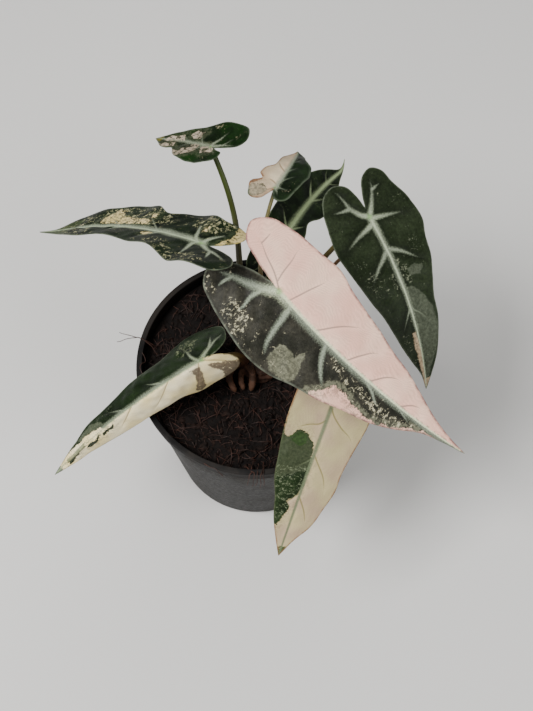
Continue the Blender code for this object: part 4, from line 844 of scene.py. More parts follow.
def lineDistance(flat, line):
    # Distance from every point to a polyline, and how far along the line the nearest spot is, 0 to 1.
    starts, steps = line[:-1], np.diff(line, axis=0)
    offset = flat[:, None] - starts
    share = np.clip((offset * steps).sum(-1) / (steps * steps).sum(-1), 0.0, 1.0)
    distance = np.linalg.norm(offset - share[..., None] * steps, axis=-1)
    nearest = distance.argmin(1)
    rows = np.arange(len(flat))
    return distance[rows, nearest], (nearest + share[rows, nearest]) / len(steps)


def patchField(flat, outlines):
    # Signed distance in mm to the nearest outline, positive inside; a crossing count says what is inside.
    field = np.full(len(flat), -9.0)
    for outline in outlines:
        corners = np.array(outline, float)
        following = np.roll(corners, -1, axis=0)
        distance = lineDistance(flat, np.concatenate([corners, corners[:1]]))[0]
        x, y = flat[:, :1], flat[:, 1:]
        spans = (corners[:, 1] > y) != (following[:, 1] > y)
        height = following[:, 1] - corners[:, 1]
        cut = corners[:, 0] + (y - corners[:, 1]) / np.where(height == 0, 1, height) * (following[:, 0] - corners[:, 0])
        inside = ((spans & (x < cut)).sum(1) % 2).astype(bool)
        field = np.maximum(field, np.where(inside, distance, -distance))
    return field


def bladeFields(leaf, flat):
    silver = np.zeros(len(flat))
    distance, line = np.full(len(flat), 9.0), np.full(len(flat), 9.0)
    sink, below = np.zeros(len(flat)), np.zeros(len(flat))
    for points, startWidth, endWidth in leaf["veins"]:
        apart, along = lineDistance(flat, smoothLine(points, 20))
        width = endWidth + (startWidth - endWidth) * (1.0 - along) ** 0.8
        fade = (1.0 - along**6) * (1.0 - leaf.get("dim", 0.4) * along)
        silver = np.maximum(silver, np.clip(1.15 - 0.75 * apart / width, 0.0, 1.0) * fade * smoothStep(width, 0.1, 0.9))
        line = np.minimum(line, apart + 0.7 * along**4)
        sink = np.maximum(sink, np.exp(-(apart / 0.8) ** 2) * fade)
        below = np.maximum(below, np.exp(-(apart / 0.9) ** 2) * (1.0 - along))
        distance = np.minimum(distance, apart + 2.0 * along**4)
    ahead = np.clip(flat[:, 1] / leaf["length"], 0.0, 1.0)
    beside = np.hypot(flat[:, 0], np.clip(-flat[:, 1], 0.0, None))
    ribWidth = leaf["rib"][1] + (leaf["rib"][0] - leaf["rib"][1]) * (1.0 - ahead) ** 0.8
    rib = np.clip(1.2 - beside / ribWidth, 0.0, 1.0)
    frostWidth = leaf["frost"][1] + (leaf["frost"][0] - leaf["frost"][1]) * (1.0 - ahead)
    silver = np.maximum(silver, np.clip(1.15 - 0.75 * beside / frostWidth, 0.0, 1.0))
    sink = np.maximum(sink, np.exp(-(beside / 1.0) ** 2))
    distance = np.minimum(distance, beside)
    spread = blade["ribSpread"] * (1.0 - 0.6 * ahead)
    ribBelow = np.exp(-(beside / spread) ** 2) * (1.0 - 0.75 * ahead)
    edges = np.concatenate([outerMargin(leaf, s, 160) * [k, 1] for s, k in (("left", -1), ("right", 1))])
    insides = [innerMargin(leaf, s, 40) * [k, 1] for s, k in (("left", -1), ("right", 1))]
    margin = np.minimum(lineDistance(flat, edges[:160])[0], lineDistance(flat, edges[160:])[0])
    for inside in insides:
        margin = np.minimum(margin, lineDistance(flat, inside)[0])

    pale = patchField(flat, leaf.get("pale", []))
    halves = {"left": -flat[:, 0] * 4.0, "right": flat[:, 0] * 4.0, "both": np.full(len(flat), 9.0)}
    if "paleHalf" in leaf:
        pale = np.maximum(pale, np.clip(halves[leaf["paleHalf"]], -9.0, 9.0))
    if "dark" in leaf:
        pale = np.minimum(pale, -patchField(flat, leaf["dark"]))
    sage = patchField(flat, leaf.get("sage", []))
    if leaf.get("sageOnPale"):
        pale = np.minimum(pale, -sage)
    stain = patchField(flat, leaf.get("stain", []))
    density = np.full(len(flat), leaf["sparse"])
    for strength, outline in leaf["fleck"]:
        density = np.maximum(density, strength * smoothStep(patchField(flat, [outline]), -2.0, 1.5))
    ripples = beside - 0.45 * np.minimum(distance, 9.0)
    return dict(silver=silver, line=line, distance=distance, ripples=ripples, beside=beside, sink=sink,
                below=below, rib=rib, ribBelow=ribBelow, margin=margin, pale=pale, sage=sage, stain=stain, density=density)


def makeBlade(name, leaf):
    flat, triangles = bladeSheet(leaf)
    field = bladeFields(leaf, flat)
    sheet = bendBlade(leaf, flat)
    normals = pointNormals(sheet, triangles)
    calm = smoothStep(field["margin"], 0.0, 4.0)
    relief = blade["cushion"] * (1.0 - np.exp(-(field["distance"] / 2.6) ** 2)) * calm
    relief -= blade["veinSink"] * field["sink"] * calm
    relief += blade["unevenness"] * ripple(flat, 9.0, 11 + len(name)) * (1.0 - field["sink"]) * calm
    sheet = sheet + normals * relief[:, None]
    thickness = blade["marginThickness"] + (blade["thickness"] - blade["marginThickness"]) * calm
    thickness = thickness + blade["ribBelow"] * field["ribBelow"] + 0.35 * field["below"]
    points, shell, source, under = thinShell(sheet, triangles, thickness)
    colours = {label.replace("_", " "): tone(*value) for label, value in leaf["colours"].items()}
    tuning = {label.replace("_", " "): value for label, value in leaf["tuning"].items()}
    material, tree, shader = newMaterial("blade_" + name, Specular_IOR_Level=0.1)
    skin = useGroup(tree, bladeSkin, {**colours, **tuning})
    finishShader(tree, shader, skin["Colour"], skin["Roughness"], skin["Height"], 0.12)
    fields = {
        "place": np.concatenate([flat, 0 * flat[:, :1]], 1)[source],
        "veins": np.stack([field["silver"], field["rib"], field["line"]], -1)[source],
        "run": np.stack([field["ripples"], field["distance"], field["beside"]], -1)[source],
        "sectors": np.stack([field["pale"], field["sage"], field["stain"]], -1)[source],
        "marks": np.concatenate([np.stack([field["density"], field["margin"]], -1)[source], under[:, None]], 1)}
    makePiece("blade_" + name, points, shell, material, ["leaf_" + name], fields)
    return len(shell)


for leafName, leafMeasures in leaves.items():
    print("blade", leafName, makeBlade(leafName, leafMeasures), "triangles")


# ---- crown and stalks

crown = dict(centre=(2.0, 4.0), radius=12.5, bottom=84.0, shoulder=102.0, top=110.0, socket=101.0,
             outerRing=9.2, innerRing=3.9,
             stubs=[((-7.0, 0.0, 103.5), (-18.0, -4.0, 105.0), (-9.5, -14.5, 101.3), 2.0),
                    ((-5.0, -3.0, 103.5), (-9.0, -6.0, 104.5), (-5.6, -13.4, 101.3), 1.7),
                    ((-6.0, -1.0, 104.0), (1.0, -4.5, 109.5), (-2.2, -14.2, 101.3), 2.1)])

stalks = {
    "big": dict(azimuth=-45.0, ring="innerRing", foot=2.2, top=1.7, lean=0.9, nod=0.5, skin="green"),
    "right": dict(azimuth=42.0, ring="outerRing", foot=2.0, top=1.15, lean=0.6, nod=0.3, skin="tan"),
    "left": dict(azimuth=165.0, ring="innerRing", foot=1.9, top=1.2, lean=0.5, nod=0.5, skin="green"),
    "lower_left": dict(azimuth=215.0, ring="outerRing", foot=1.9, top=1.2, lean=0.9, nod=0.5, skin="tan"),
    "front": dict(azimuth=-62.0, ring="outerRing", foot=2.0, top=1.3, lean=0.2, nod=0.5, skin="tan"),
    "top": dict(azimuth=125.0, ring="outerRing", foot=2.0, top=1.2, lean=-0.3, nod=0.35, skin="green"),
    "small": dict(azimuth=60.0, ring="innerRing", foot=1.6, top=0.85, lean=0.0, nod=1.0, skin="tan"),
    "back": dict(azimuth=90.0, ring="outerRing", foot=1.8, top=1.1, lean=0.4, nod=0.5, skin="green"),
    "trimmed": dict(azimuth=5.0, ring="outerRing", foot=1.7, top=0.9, lean=1.2, nod=0.5, skin="dry",
                    end=(47.0, 46.0, 138.0), ahead=(0.6, 0.0, -0.2)),
}

stalkSkins = {
    "green": dict(Foot=(84, 60, 46), Middle=(68, 64, 33), Top=(58, 70, 25), Streak=(38, 34, 20)),
    "tan": dict(Foot=(80, 54, 40), Middle=(98, 78, 42), Top=(100, 94, 50), Streak=(56, 40, 26)),
    "dry": dict(Foot=(78, 54, 40), Middle=(106, 80, 44), Top=(98, 68, 42), Streak=(58, 40, 26)),
}
stalkFinish = dict(rows=90, sides=28, leafThickness=0.85, gap=0.3, intoBlade=0.9, sheath=0.3, sheathLength=16.0)


def stalkSkinGroup():
    # Colour runs from the foot through the middle to the top, with fine lengthwise streaks and dots.
    inputs = {label: (0.5, 0.5, 0.5, 1.0) for label in ("Foot", "Middle", "Top", "Streak")}
    tree, given, out = newGroup("stalkSkin", inputs, {"Colour": "Color", "Roughness": "Float", "Height": "Float"})
    place = attribute(tree, "place")
    along = parts(tree, attribute(tree, "run"))[0]
    streaks = noise(tree, scaled(tree, place, 1.6, 1.6, 0.07), 1.0, 3.0, 0.6)
    dots = noise(tree, scaled(tree, place, 2.6, 2.6, 1.1), 1.0, 2.0, 0.5)
    wander = calc(tree, "MULTIPLY_ADD", calc(tree, "SUBTRACT", streaks, 0.5), 0.35, along)
    low = blend(tree, rise(tree, wander, 0.02, 0.3), given["Foot"], given["Middle"])
    base = blend(tree, rise(tree, wander, 0.3, 0.95), low, given["Top"])
    base = blend(tree, rise(tree, streaks, 0.5, 0.72, 0.0, 0.6), base, given["Streak"])
    base = blend(tree, rise(tree, dots, 0.6, 0.7, 0.0, 0.35), base, given["Streak"])
    tree.links.new(base, out["Colour"])
    tree.links.new(calc(tree, "MULTIPLY_ADD", streaks, 0.2, 0.3), out["Roughness"])
    tree.links.new(calc(tree, "MULTIPLY_ADD", dots, 0.3, streaks), out["Height"])
    return tree


stalkSkin = stalkSkinGroup()


def stalkMaterial(name, colours):
    material, tree, shader = newMaterial("stalk_" + name, Specular_IOR_Level=0.3)
    skin = useGroup(tree, stalkSkin, {label: tone(*value) for label, value in colours.items()})
    finishShader(tree, shader, skin["Colour"], skin["Roughness"], skin["Height"], 0.2)
    return material


def stalkCourse(name, stalk):
    # Straight up out of the socket, then a cubic Bezier that comes in under the blade.
    angle = math.radians(stalk["azimuth"])
    ring = crown[stalk["ring"]]
    foot = np.array([crown["centre"][0] + ring * math.cos(angle), crown["centre"][1] + ring * math.sin(angle),
                     crown["socket"]])
    if name in leaves:
        leaf = leaves[name]
        centre, sideways, upward = (value[0] for value in ribFrame(leaf, np.array([0.0])))
        ahead = np.cross(upward, sideways)
        arrive = unit(unit(centre - foot) + stalk["nod"] * ahead)
        droop = math.radians(max(0.0, -min(leaf["fold"])))
        slant = math.sqrt(1.0 - (arrive @ upward) ** 2)
        depth = (stalkFinish["leafThickness"] + stalkFinish["gap"] + stalk["top"] * slant) / math.cos(droop)
        end = centre - upward * (depth + stalk["top"] * math.sin(droop))
        into = stalkFinish["intoBlade"]
    else:
        end = np.array(stalk["end"])
        arrive = unit(unit(end - foot) + stalk["nod"] * np.array(stalk["ahead"]))
        into = 0.0
    chord = end - foot
    reach = 0.4 * np.linalg.norm(chord)
    leave = unit(unit(chord) + up * stalk["lean"])
    start = foot + up * 9.0
    t = np.linspace(0.0, 1.0, 400)[:, None]
    course = ((1 - t)**3 * start + 3 * (1 - t)**2 * t * (start + leave * reach)
              + 3 * (1 - t) * t**2 * (end - arrive * reach) + t**3 * end)
    line = np.concatenate([foot + up * np.linspace(0.0, 8.5, 30)[:, None], course, [end + arrive * into]])
    run = np.concatenate([[0.0], np.cumsum(np.linalg.norm(np.diff(line, axis=0), axis=1))])
    share = np.concatenate([np.zeros(30), t[:, 0], [1.0]])
    places = np.linspace(0.0, run[-1], stalkFinish["rows"])
    path = np.stack([np.interp(places, run, line[:, axis]) for axis in range(3)], -1)
    return path, places, np.interp(places, run, share)


def makeStalk(name, stalk, materials):
    path, run, share = stalkCourse(name, stalk)
    radius = stalk["foot"] + (stalk["top"] - stalk["foot"]) * share**0.6
    sheath = 1.0 + stalkFinish["sheath"] * np.exp(-((run - 9.0) / stalkFinish["sheathLength"]) ** 2) * (run > 9.0)
    sheath = np.where(run > 9.0, sheath, 1.0 + stalkFinish["sheath"] * smoothStep(run, 6.0, 9.0))
    rings = tubeRings(path[None], np.ones((1, len(path), 1)), stalkFinish["sides"])[0] - path[:, None]
    angle = np.arange(stalkFinish["sides"]) * 2 * math.pi / stalkFinish["sides"]
    groove = 1.0 - 0.10 * np.exp(-((angle - math.pi) / 0.35) ** 2)[None] * np.clip(sheath - 1.0, 0.03, 1.0)[:, None] * 8
    ribs = 1.0 + 0.012 * np.cos(9 * angle)[None] + 0.02 * ripple(np.stack(np.broadcast_arrays(
        2.0 * np.cos(angle)[None], 2.0 * np.sin(angle)[None], run[:, None] * 0.25), -1), 3.0, 5)
    shape = (radius * sheath)[:, None] * groove * ribs
    points = path[:, None] + rings * shape[..., None]
    points, triangles = closedRings(points[None], path[:1], path[-1:])
    place = np.stack(np.broadcast_arrays(np.cos(angle)[None] * 2, np.sin(angle)[None] * 2, run[:, None]), -1)
    place = np.concatenate([place.reshape(-1, 3), [[0, 0, run[0]], [0, 0, run[-1]]]])
    along = np.concatenate([np.repeat(share, stalkFinish["sides"]), [0.0, 1.0]])
    fields = {"place": place, "run": np.stack([along, 0 * along, 0 * along], -1)}
    makePiece("stalk_" + name, points, triangles, materials[stalk["skin"]], ["petiole_" + name], fields)


def crownMaterial():
    material, tree, shader = newMaterial("crown_bark", Specular_IOR_Level=0.3)
    place = scaled(tree, node(tree, "TexCoord").outputs["Object"], 1000, 1000, 1000)
    rough = useGroup(tree, grain, {"Place": scaled(tree, place, 1.0, 1.0, 0.35), "Size": 1.4})
    base = blend(tree, rough["Drift"], tone(72, 46, 34), tone(48, 31, 23))
    base = blend(tree, calc(tree, "MULTIPLY", rough["SpecksAndHighlights"], 0.7), base, tone(26, 17, 13))
    height = parts(tree, place)[2]
    tan = rise(tree, calc(tree, "MULTIPLY_ADD", rough["Height"], 2.0, attributeValue(tree, "stub")), 1.2, 1.7)
    base = blend(tree, tan, base, tone(84, 56, 40))
    scars = rise(tree, noise(tree, scaled(tree, place, 0.05, 0.05, 0.9), 1.0, 2.0), 0.52, 0.6, 0.0, 0.5)
    base = blend(tree, calc(tree, "MULTIPLY", scars, rise(tree, height, 96.0, 100.0)), base, tone(32, 21, 15))
    finishShader(tree, shader, base, rise(tree, rough["Height"], 0.3, 0.9, 0.5, 0.8), rough["Height"], 0.6)
    return material


def attributeValue(tree, name):
    return node(tree, "Attribute", attribute_name=name).outputs["Fac"]


def makeCrown():
    # A dome on a cylinder, ringed by old leaf scars, with three bent stubs of old stalks in front.
    angle = np.radians(np.linspace(0.0, 90.0, 30))[:-1]
    dome = np.stack([crown["radius"] * np.cos(angle),
                     crown["shoulder"] + (crown["top"] - crown["shoulder"]) * np.sin(angle)], -1)
    wall = np.stack([np.full(24, crown["radius"]), np.linspace(crown["bottom"] + 3.0, crown["shoulder"] - 0.5, 24)], -1)
    foot = np.array([[crown["radius"] - 3.0, crown["bottom"]]])
    profile = np.concatenate([foot, wall, dome])
    rings = turnedRings(profile, 120)
    around = unit(rings * [1, 1, 0])
    lumps = 0.45 * ripple(rings, 7.0, 21) + 0.22 * ripple(rings * [1, 1, 0.25], 2.0, 22)
    scars = 0.35 * np.cos(rings[..., 2] * 2 * math.pi / 3.1 + 1.2 * ripple(rings, 14.0, 23))
    rings = rings + around * ((lumps + scars - 0.5) * smoothStep(rings[..., 2], 88.0, 97.0))[..., None]
    centre = np.array([*crown["centre"], 0.0])
    poles = [np.array([[0.0, 0.0, crown["bottom"]]]), np.array([[0.0, 0.0, crown["top"] - 0.4]])]
    points, triangles = closedRings(rings + centre, poles[0] + centre, poles[1] + centre)
    stub = np.zeros(len(points))
    t = np.linspace(0.0, 1.0, 26)[:, None]
    for start, bend, end, radius in crown["stubs"]:
        path = (1 - t)**2 * np.array(start) + 2 * (1 - t) * t * np.array(bend) + t**2 * np.array(end)
        taper = radius * (1.0 - 0.2 * t) * np.sqrt(np.clip(1.0 - ((t - 0.86) / 0.145).clip(0, 1)**2, 0.02, 1.0))
        rings = tubeRings(path[None], taper[None], 24)
        rings = rings + 0.10 * ripple(rings, 2.2, 31)[..., None] * unit(rings - path[None, :, None])
        more, faces = closedRings(rings, path[:1], path[-1:])
        triangles = np.concatenate([triangles, faces + len(points)])
        points = np.concatenate([points, more])
        stub = np.concatenate([stub, np.ones(len(more))])
    makePiece("crown_stock", points, triangles, crownMaterial(), ["crown"], {"stub": stub})


makeCrown()
stalkMaterials = {label: stalkMaterial(label, colours) for label, colours in stalkSkins.items()}
for stalkName, stalkMeasures in stalks.items():
    makeStalk(stalkName, stalkMeasures, stalkMaterials)
print("crown and stalks made")


# ---- pot

pot = dict(height=105.0, rimRadius=60.0, baseRadius=45.0, wall=1.5, floor=2.0, collarHeight=10.0, collarStep=1.7,
           lipWidth=1.4, lipHeight=1.8, holes=6, holeRadius=4.0, holeCircle=30.0, steps=192)


def wallRadius(height):
    top = pot["rimRadius"] - pot["lipWidth"] - pot["collarStep"]
    return pot["baseRadius"] + (top - pot["baseRadius"]) * height / (pot["height"] - pot["collarHeight"])


def roundedProfile(corners):
    # Each corner is (radius, height, rounding): the corner is cut by a small arc of that size.
    spots = np.array([corner[:2] for corner in corners])
    out = [spots[:1]]
    for index in range(1, len(corners) - 1):
        before, here, after = spots[index - 1:index + 2]
        size = corners[index][2]
        start = here + unit(before - here) * size
        end = here + unit(after - here) * size
        t = np.linspace(0.0, 1.0, 5)[:, None]
        out.append((1 - t)**2 * start + 2 * (1 - t) * t * here + t**2 * end)
    out.append(spots[-1:])
    rough = np.concatenate(out)
    steps = np.linalg.norm(np.diff(rough, axis=0), axis=1)
    keep = np.concatenate([[True], steps > 0.02])
    return rough[keep]


def potMaterial():
    material, tree, shader = newMaterial("pot_black", Specular_IOR_Level=0.07)
    place = scaled(tree, node(tree, "TexCoord").outputs["Object"], 1000, 1000, 1000)
    rough = useGroup(tree, grain, {"Place": place, "Size": 1.8})
    height = parts(tree, place)[2]
    dustDrift = noise(tree, place, 0.045, 4.0, 0.6)
    base = blend(tree, rough["Drift"], tone(8, 8, 9), tone(14, 14, 15))
    dust = calc(tree, "MULTIPLY", rise(tree, dustDrift, 0.46, 0.7), rise(tree, height, 60.0, 104.0, 0.12, 0.4))
    base = blend(tree, dust, base, tone(50, 40, 33))
    rings = noise(tree, scaled(tree, place, 0.004, 0.004, 1.1), 1.0, 2.0)
    base = blend(tree, rise(tree, rings, 0.5, 0.7, 0.0, 0.22), base, tone(44, 44, 44))
    # The top of the rim is lighter in patches: partly dust, partly a painted highlight along the rim.
    rimDustAndHighlight = rise(tree, height, 103.0, 104.6, 0.0, 0.35)
    base = blend(tree, calc(tree, "MULTIPLY", rimDustAndHighlight, rise(tree, dustDrift, 0.3, 0.6)), base, tone(58, 55, 52))
    height = calc(tree, "MULTIPLY_ADD", rings, 0.6, rough["Height"])
    roughness = calc(tree, "MULTIPLY_ADD", dust, 0.4, rise(tree, rough["Height"], 0.3, 0.9, 0.38, 0.55))
    finishShader(tree, shader, base, roughness, height, 0.08)
    return material


def makePot():
    # The wall's profile turned round, then six drainage holes cut through the floor.
    collarFoot = pot["height"] - pot["collarHeight"]
    collar = pot["rimRadius"] - pot["lipWidth"]
    wallTop = wallRadius(collarFoot)
    lipFoot = pot["height"] - pot["lipHeight"]
    corners = [
        (0.0, 0.0, 0), (pot["baseRadius"] - 1.6, 0.0, 0.7), (wallRadius(2.0), 2.0, 0.8),
        (wallTop, collarFoot - 0.6, 0.35), (collar, collarFoot, 0.35), (collar, lipFoot - 0.6, 0.3),
        (pot["rimRadius"], lipFoot, 0.3), (pot["rimRadius"], pot["height"], 0.6),
        (collar - pot["wall"], pot["height"], 0.5), (collar - pot["wall"], collarFoot + 1.0, 0.5),
        (wallTop - pot["wall"], collarFoot - 1.0, 0.5),
        (wallRadius(pot["floor"] + 1.5) - pot["wall"], pot["floor"] + 1.5, 0.6),
        (wallRadius(pot["floor"]) - pot["wall"] - 1.0, pot["floor"], 0.5), (0.0, pot["floor"], 0)]
    profile = roundedProfile(corners)
    rings = turnedRings(profile[1:-1], pot["steps"])
    points, triangles = closedRings(rings, np.array([[0.0, 0.0, 0.0]]), np.array([[0.0, 0.0, pot["floor"]]]))
    piece = makePiece("pot_shell", points, triangles, potMaterial(), ["pot"])
    angle = 2 * math.pi * (np.arange(pot["holes"]) + 0.5) / pot["holes"]
    spots = np.stack([pot["holeCircle"] * np.cos(angle), pot["holeCircle"] * np.sin(angle), 0 * angle], -1)
    rod = turnedRings(np.array([[pot["holeRadius"], -2.0], [pot["holeRadius"], 4.0]]), 32)
    rods = rod + spots[:, None, None]
    points, triangles = closedRings(rods, spots - 2.0 * up, spots + 4.0 * up)
    mesh = bpy.data.meshes.new("drainCutter")
    mesh.from_pydata((points * mm).tolist(), [], triangles.tolist())
    cutter = bpy.data.objects.new("drainCutter", mesh)
    scene.collection.objects.link(cutter)
    change = piece.modifiers.new("drains", "BOOLEAN")
    change.object, change.operation, change.solver = cutter, "DIFFERENCE", "EXACT"
    graph = bpy.context.evaluated_depsgraph_get()
    finished = bpy.data.meshes.new_from_object(piece.evaluated_get(graph))
    piece.modifiers.clear()
    piece.data = finished
    finished.set_sharp_from_angle(angle=math.radians(40))
    bpy.data.objects.remove(cutter)
    return piece


makePot()
print("pot made")


# ---- soil: the filling, bark crumbs and coir fibres

soil = dict(edgeHeight=97.0, mound=2.0, bump=1.0, gap=0.3, crumbs=1700, fibres=900)
soilEdge = pot["rimRadius"] - pot["lipWidth"] - pot["wall"] - soil["gap"]


def soilHeight(x, y):
    # A low mound with bumps of three sizes that fade out towards the wall.
    radius = np.hypot(x, y)
    spots = np.stack([x, y], -1)
    fade = smoothStep(soilEdge - radius, 0.0, 4.0)
    bumps = 0.75 * ripple(spots, 13.0, 41) + 0.5 * ripple(spots, 5.0, 42) + 0.25 * ripple(spots, 2.2, 43)
    return soil["edgeHeight"] + soil["mound"] * (1.0 - (radius / soilEdge) ** 2) + soil["bump"] * bumps * fade - 0.2


def earthMaterial(name, dark, light, roughness, size, depth):
    material, tree, shader = newMaterial(name, Specular_IOR_Level=0.2)
    place = scaled(tree, node(tree, "TexCoord").outputs["Object"], 1000, 1000, 1000)
    rough = useGroup(tree, grain, {"Place": place, "Size": size})
    base = blend(tree, rough["Drift"], tone(*dark), tone(*light))
    base = blend(tree, calc(tree, "MULTIPLY", rough["SpecksAndHighlights"], 0.6), base, tone(*[v * 0.45 for v in dark]))
    crumbs = cells(tree, place, 0.8, "F1")
    base = blend(tree, rise(tree, crumbs, 0.2, 0.8, 0.0, 0.35), base, tone(*light))
    finishShader(tree, shader, base, rise(tree, rough["Height"], 0.3, 0.9, roughness - 0.15, roughness),
                 rough["Height"], depth)
    return material


def makeSoil():
    collarFoot = pot["height"] - pot["collarHeight"]
    sideTop = wallRadius(collarFoot) - pot["wall"] - soil["gap"]
    sideFoot = wallRadius(pot["floor"] + 2.0) - pot["wall"] - soil["gap"]
    side = np.array([(sideFoot - 2.0, pot["floor"] + soil["gap"]), (sideFoot, pot["floor"] + 2.0),
                     (sideTop, collarFoot - 0.8 - soil["gap"]), (soilEdge, collarFoot + 1.4)])
    radius = np.linspace(soilEdge, 0.7, 80)
    profile = np.concatenate([side, np.stack([radius, 0 * radius], -1)])
    rings = turnedRings(profile, 400)
    top = soilHeight(rings[0, 4:, :, 0], rings[0, 4:, :, 1])
    rings[0, 4:, :, 2] = top
    poles = [np.array([[0.0, 0.0, pot["floor"] + soil["gap"]]]), np.array([[0.0, 0.0, top[-1].mean()]])]
    points, triangles = closedRings(rings, *poles)
    earth = earthMaterial("potting_earth", (10, 7, 6), (21, 14, 11), 0.95, 1.6, 0.8)
    makePiece("soil_bed", points, triangles, earth, ["soil"])


def discSpots(count, inner, outer, seed):
    picks = np.random.default_rng(seed)
    radius = np.sqrt(picks.uniform(inner**2, outer**2, count))
    angle = picks.uniform(0.0, 2 * math.pi, count)
    return radius * np.cos(angle), radius * np.sin(angle), picks


def makeCrumbs():
    # Flattened lumps of six sides and four rings, each with its own size, turn and dents.
    count = soil["crumbs"]
    x, y, picks = discSpots(count, 0.0, soilEdge - 2.2, 51)
    size = 0.4 + 1.2 * picks.uniform(0.0, 1.0, count) ** 2.5
    height = np.array([-0.8, -0.3, 0.3, 0.8])
    ringRadius = np.sqrt(1.0 - height**2)
    angle = np.arange(6) * math.pi / 3
    ball = np.stack(np.broadcast_arrays(ringRadius[:, None] * np.cos(angle), ringRadius[:, None] * np.sin(angle),
                                        height[:, None]), -1)
    dents = picks.uniform(0.6, 1.35, (count, 4, 6, 1))
    stretch = np.stack([picks.uniform(0.8, 2.2, count), picks.uniform(0.6, 1.1, count),
                        picks.uniform(0.35, 0.7, count)], -1)
    frameA = unit(picks.normal(size=(count, 3)) * [1, 1, 0.35])
    frameB = unit(np.cross(up + 0.4 * picks.normal(size=(count, 3)), frameA))
    frameC = np.cross(frameA, frameB)
    centre = np.stack([x, y, soilHeight(x, y) + 0.15 * size], -1)

    def placed(shape):
        scaledShape = shape * stretch[:, None] * size[:, None, None]
        axes = np.stack([frameA, frameB, frameC], 1)
        return np.einsum("npk,nkj->npj", scaledShape, axes) + centre[:, None]
    lumps = placed((ball[None] * dents).reshape(count, 24, 3)).reshape(count, 4, 6, 3)
    bottoms = placed(np.tile([[[0.0, 0.0, -1.0]]], (count, 1, 1)))[:, 0]
    tops = placed(np.tile([[[0.0, 0.0, 1.0]]], (count, 1, 1)))[:, 0]
    points, triangles = closedRings(lumps, bottoms, tops)
    bark = earthMaterial("bark_crumbs", (13, 9, 7), (33, 20, 14), 0.9, 2.4, 0.4)
    makePiece("soil_crumbs", points, triangles, bark)


def fibreMaterial():
    material, tree, shader = newMaterial("coir")
    place = scaled(tree, node(tree, "TexCoord").outputs["Object"], 1000, 1000, 1000)
    rough = useGroup(tree, grain, {"Place": place, "Size": 2.0})
    base = blend(tree, rough["Drift"], tone(64, 32, 20), tone(32, 18, 12))
    # Painted highlights: lighter specks on the strands.
    base = blend(tree, calc(tree, "MULTIPLY", rough["SpecksAndHighlights"], 0.5), base, tone(92, 54, 34))
    finishShader(tree, shader, base, rise(tree, rough["Height"], 0.3, 0.9, 0.5, 0.75), rough["Height"], 0.1)
    return material


def makeFibres():
    # Thin strands on the soil: arcs of random bend and length that rise a little off the ground.
    count, rows = soil["fibres"], 7
    x, y, picks = discSpots(count, 13.0, soilEdge - 3.0, 61)
    length = 2.0 + 11.0 * picks.uniform(0.0, 1.0, count) ** 2
    heading = picks.uniform(0.0, 2 * math.pi, count)
    bend = picks.normal(0.0, 0.09, count) * 8.0 / length
    t = np.linspace(-0.5, 0.5, rows)[None]
    turn = heading[:, None] + bend[:, None] * length[:, None] * t
    step = length[:, None] / (rows - 1)
    px = x[:, None] + np.cumsum(np.cos(turn) * step, 1) - length[:, None] * 0.5 * np.cos(heading)[:, None]
    py = y[:, None] + np.cumsum(np.sin(turn) * step, 1) - length[:, None] * 0.5 * np.sin(heading)[:, None]
    radius = np.hypot(px, py)
    limit = np.minimum(1.0, (soilEdge - 1.2) / radius)
    px, py = px * limit, py * limit
    arch = picks.uniform(0.1, 1.6, (count, 1)) * (1.0 - (2 * t)**2)
    thick = picks.uniform(0.1, 0.24, (count, 1))
    paths = np.stack([px, py, soilHeight(px, py) + thick + arch + 0.1], -1)
    taper = thick * (1.0 - 0.5 * np.abs(2 * t))
    rings = tubeRings(paths, taper[..., None], 4)
    points, triangles = closedRings(rings, paths[:, 0], paths[:, -1])
    makePiece("coir_fibres", points, triangles, fibreMaterial())


def makeRimStrands():
    # A few longer strands that lie over the pot's rim, on the left and in front.
    courses = [
        [(-50, 7, 99.5), (-54.5, 11, 104), (-58.5, 13, 105.8), (-62.5, 13.6, 105.6), (-70, 11.6, 104.8)],
        [(-51, 11, 99.5), (-56, 12.4, 104.6), (-60, 13.4, 105.9), (-65, 15, 106), (-69, 16.4, 105.6)],
        [(-54, -10, 103.5), (-57, -6, 105.9), (-57.6, -2.6, 106), (-55.4, 1, 105.3), (-57.4, 4.4, 105.9)],
        [(-1, -52, 99.5), (-1.5, -56.5, 104), (-2, -60, 105.8), (-3, -62.4, 103.2), (-3.4, -63.2, 99)],
        [(2, -52, 99.5), (1.5, -56.5, 104), (1, -60.2, 105.7), (1.2, -62.6, 103), (0.4, -63.4, 98)],
        [(4, -51, 99.5), (4.4, -56, 104), (4.2, -60.2, 105.8), (5, -62.6, 103.4), (4.6, -63.6, 100)],
        [(6, -53, 99.5), (4, -57, 104.6), (2.6, -60.4, 105.8), (3, -62.8, 103), (2.4, -64, 97)],
        [(-5, -54, 99.8), (-2.4, -57.4, 104.8), (0, -60.4, 106), (-0.6, -63, 103.4), (-1.4, -64, 99)],
        [(-26, -50, 99.8), (-24.5, -54, 105), (-22, -56.2, 105.9), (-18, -58, 105.9), (-15, -60.5, 104)]]
    rows = 26
    paths = np.stack([smoothLine(course, rows) for course in courses])
    paths = paths + 0.25 * np.stack([ripple(paths, 5.0, 71 + axis) for axis in range(3)], -1)
    taper = np.broadcast_to(np.linspace(0.3, 0.15, rows)[None, :, None], (len(courses), rows, 1))
    rings = tubeRings(paths, taper, 7)
    points, triangles = closedRings(rings, paths[:, 0], paths[:, -1])
    makePiece("rim_strands", points, triangles, bpy.data.materials["coir"])


makeSoil()
makeCrumbs()
makeFibres()
makeRimStrands()
print("soil made")


# ---- floor, light and camera

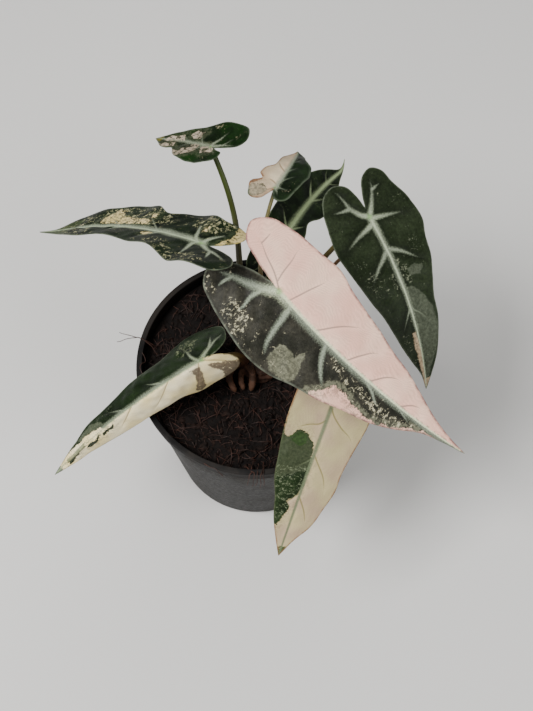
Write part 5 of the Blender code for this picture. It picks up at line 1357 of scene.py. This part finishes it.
stage = dict(floorSize=6.0, floorTone=(226, 224, 220), worldTone=(236, 238, 240), worldStrength=0.32,
             key=dict(place=(-0.55, -0.25, 1.05), size=0.5, power=16.0),
             fill=dict(place=(0.75, -0.55, 0.7), size=0.9, power=5.5),
             back=dict(place=(0.25, 0.8, 0.8), size=0.8, power=2.2))
cameraPlace = dict(location=(0.0057, -0.2552, 0.648), tilt=25.5, lens=60.25)


def floorMaterial():
    material, tree, shader = newMaterial("pale_floor", roughness=0.7)
    place = node(tree, "TexCoord").outputs["Object"]
    drift = rise(tree, noise(tree, place, 3.0, 2.0), 0.3, 0.7)
    darker = [value - 4 for value in stage["floorTone"]]
    colour = blend(tree, drift, tone(*stage["floorTone"]), tone(*darker))
    tree.links.new(colour, shader.inputs["Base Color"])
    return material


half = stage["floorSize"] / 2
floorMesh = bpy.data.meshes.new("floor")
floorMesh.from_pydata([(-half, -half, 0), (half, -half, 0), (half, half, 0), (-half, half, 0)], [], [(0, 1, 2, 3)])
floorMesh.materials.append(floorMaterial())
floor = bpy.data.objects.new("floor", floorMesh)
scene.collection.objects.link(floor)

world = bpy.data.worlds.new("studio")
scene.world = world
world.use_nodes = True
sky = world.node_tree.nodes["Background"]
sky.inputs["Color"].default_value = tone(*stage["worldTone"])
sky.inputs["Strength"].default_value = stage["worldStrength"]

for label in ("key", "fill", "back"):
    light = bpy.data.lights.new(label, "AREA")
    light.shape = "DISK"
    light.size = stage[label]["size"]
    light.energy = stage[label]["power"]
    lamp = bpy.data.objects.new(label, light)
    lamp.location = stage[label]["place"]
    aim = np.array([0.0, 0.0, 0.12]) - np.array(stage[label]["place"])
    lamp.rotation_euler = (math.atan2(math.hypot(aim[0], aim[1]), -aim[2]), 0.0, math.atan2(aim[1], aim[0]) - math.pi / 2)
    scene.collection.objects.link(lamp)

cameraData = bpy.data.cameras.new("camera")
cameraData.lens = cameraPlace["lens"]
cameraData.sensor_width = 36.0
camera = bpy.data.objects.new("camera", cameraData)
camera.location = cameraPlace["location"]
camera.rotation_euler = (math.radians(cameraPlace["tilt"]), 0.0, 0.0)
scene.collection.objects.link(camera)
scene.camera = camera
print("floor, light and camera set")
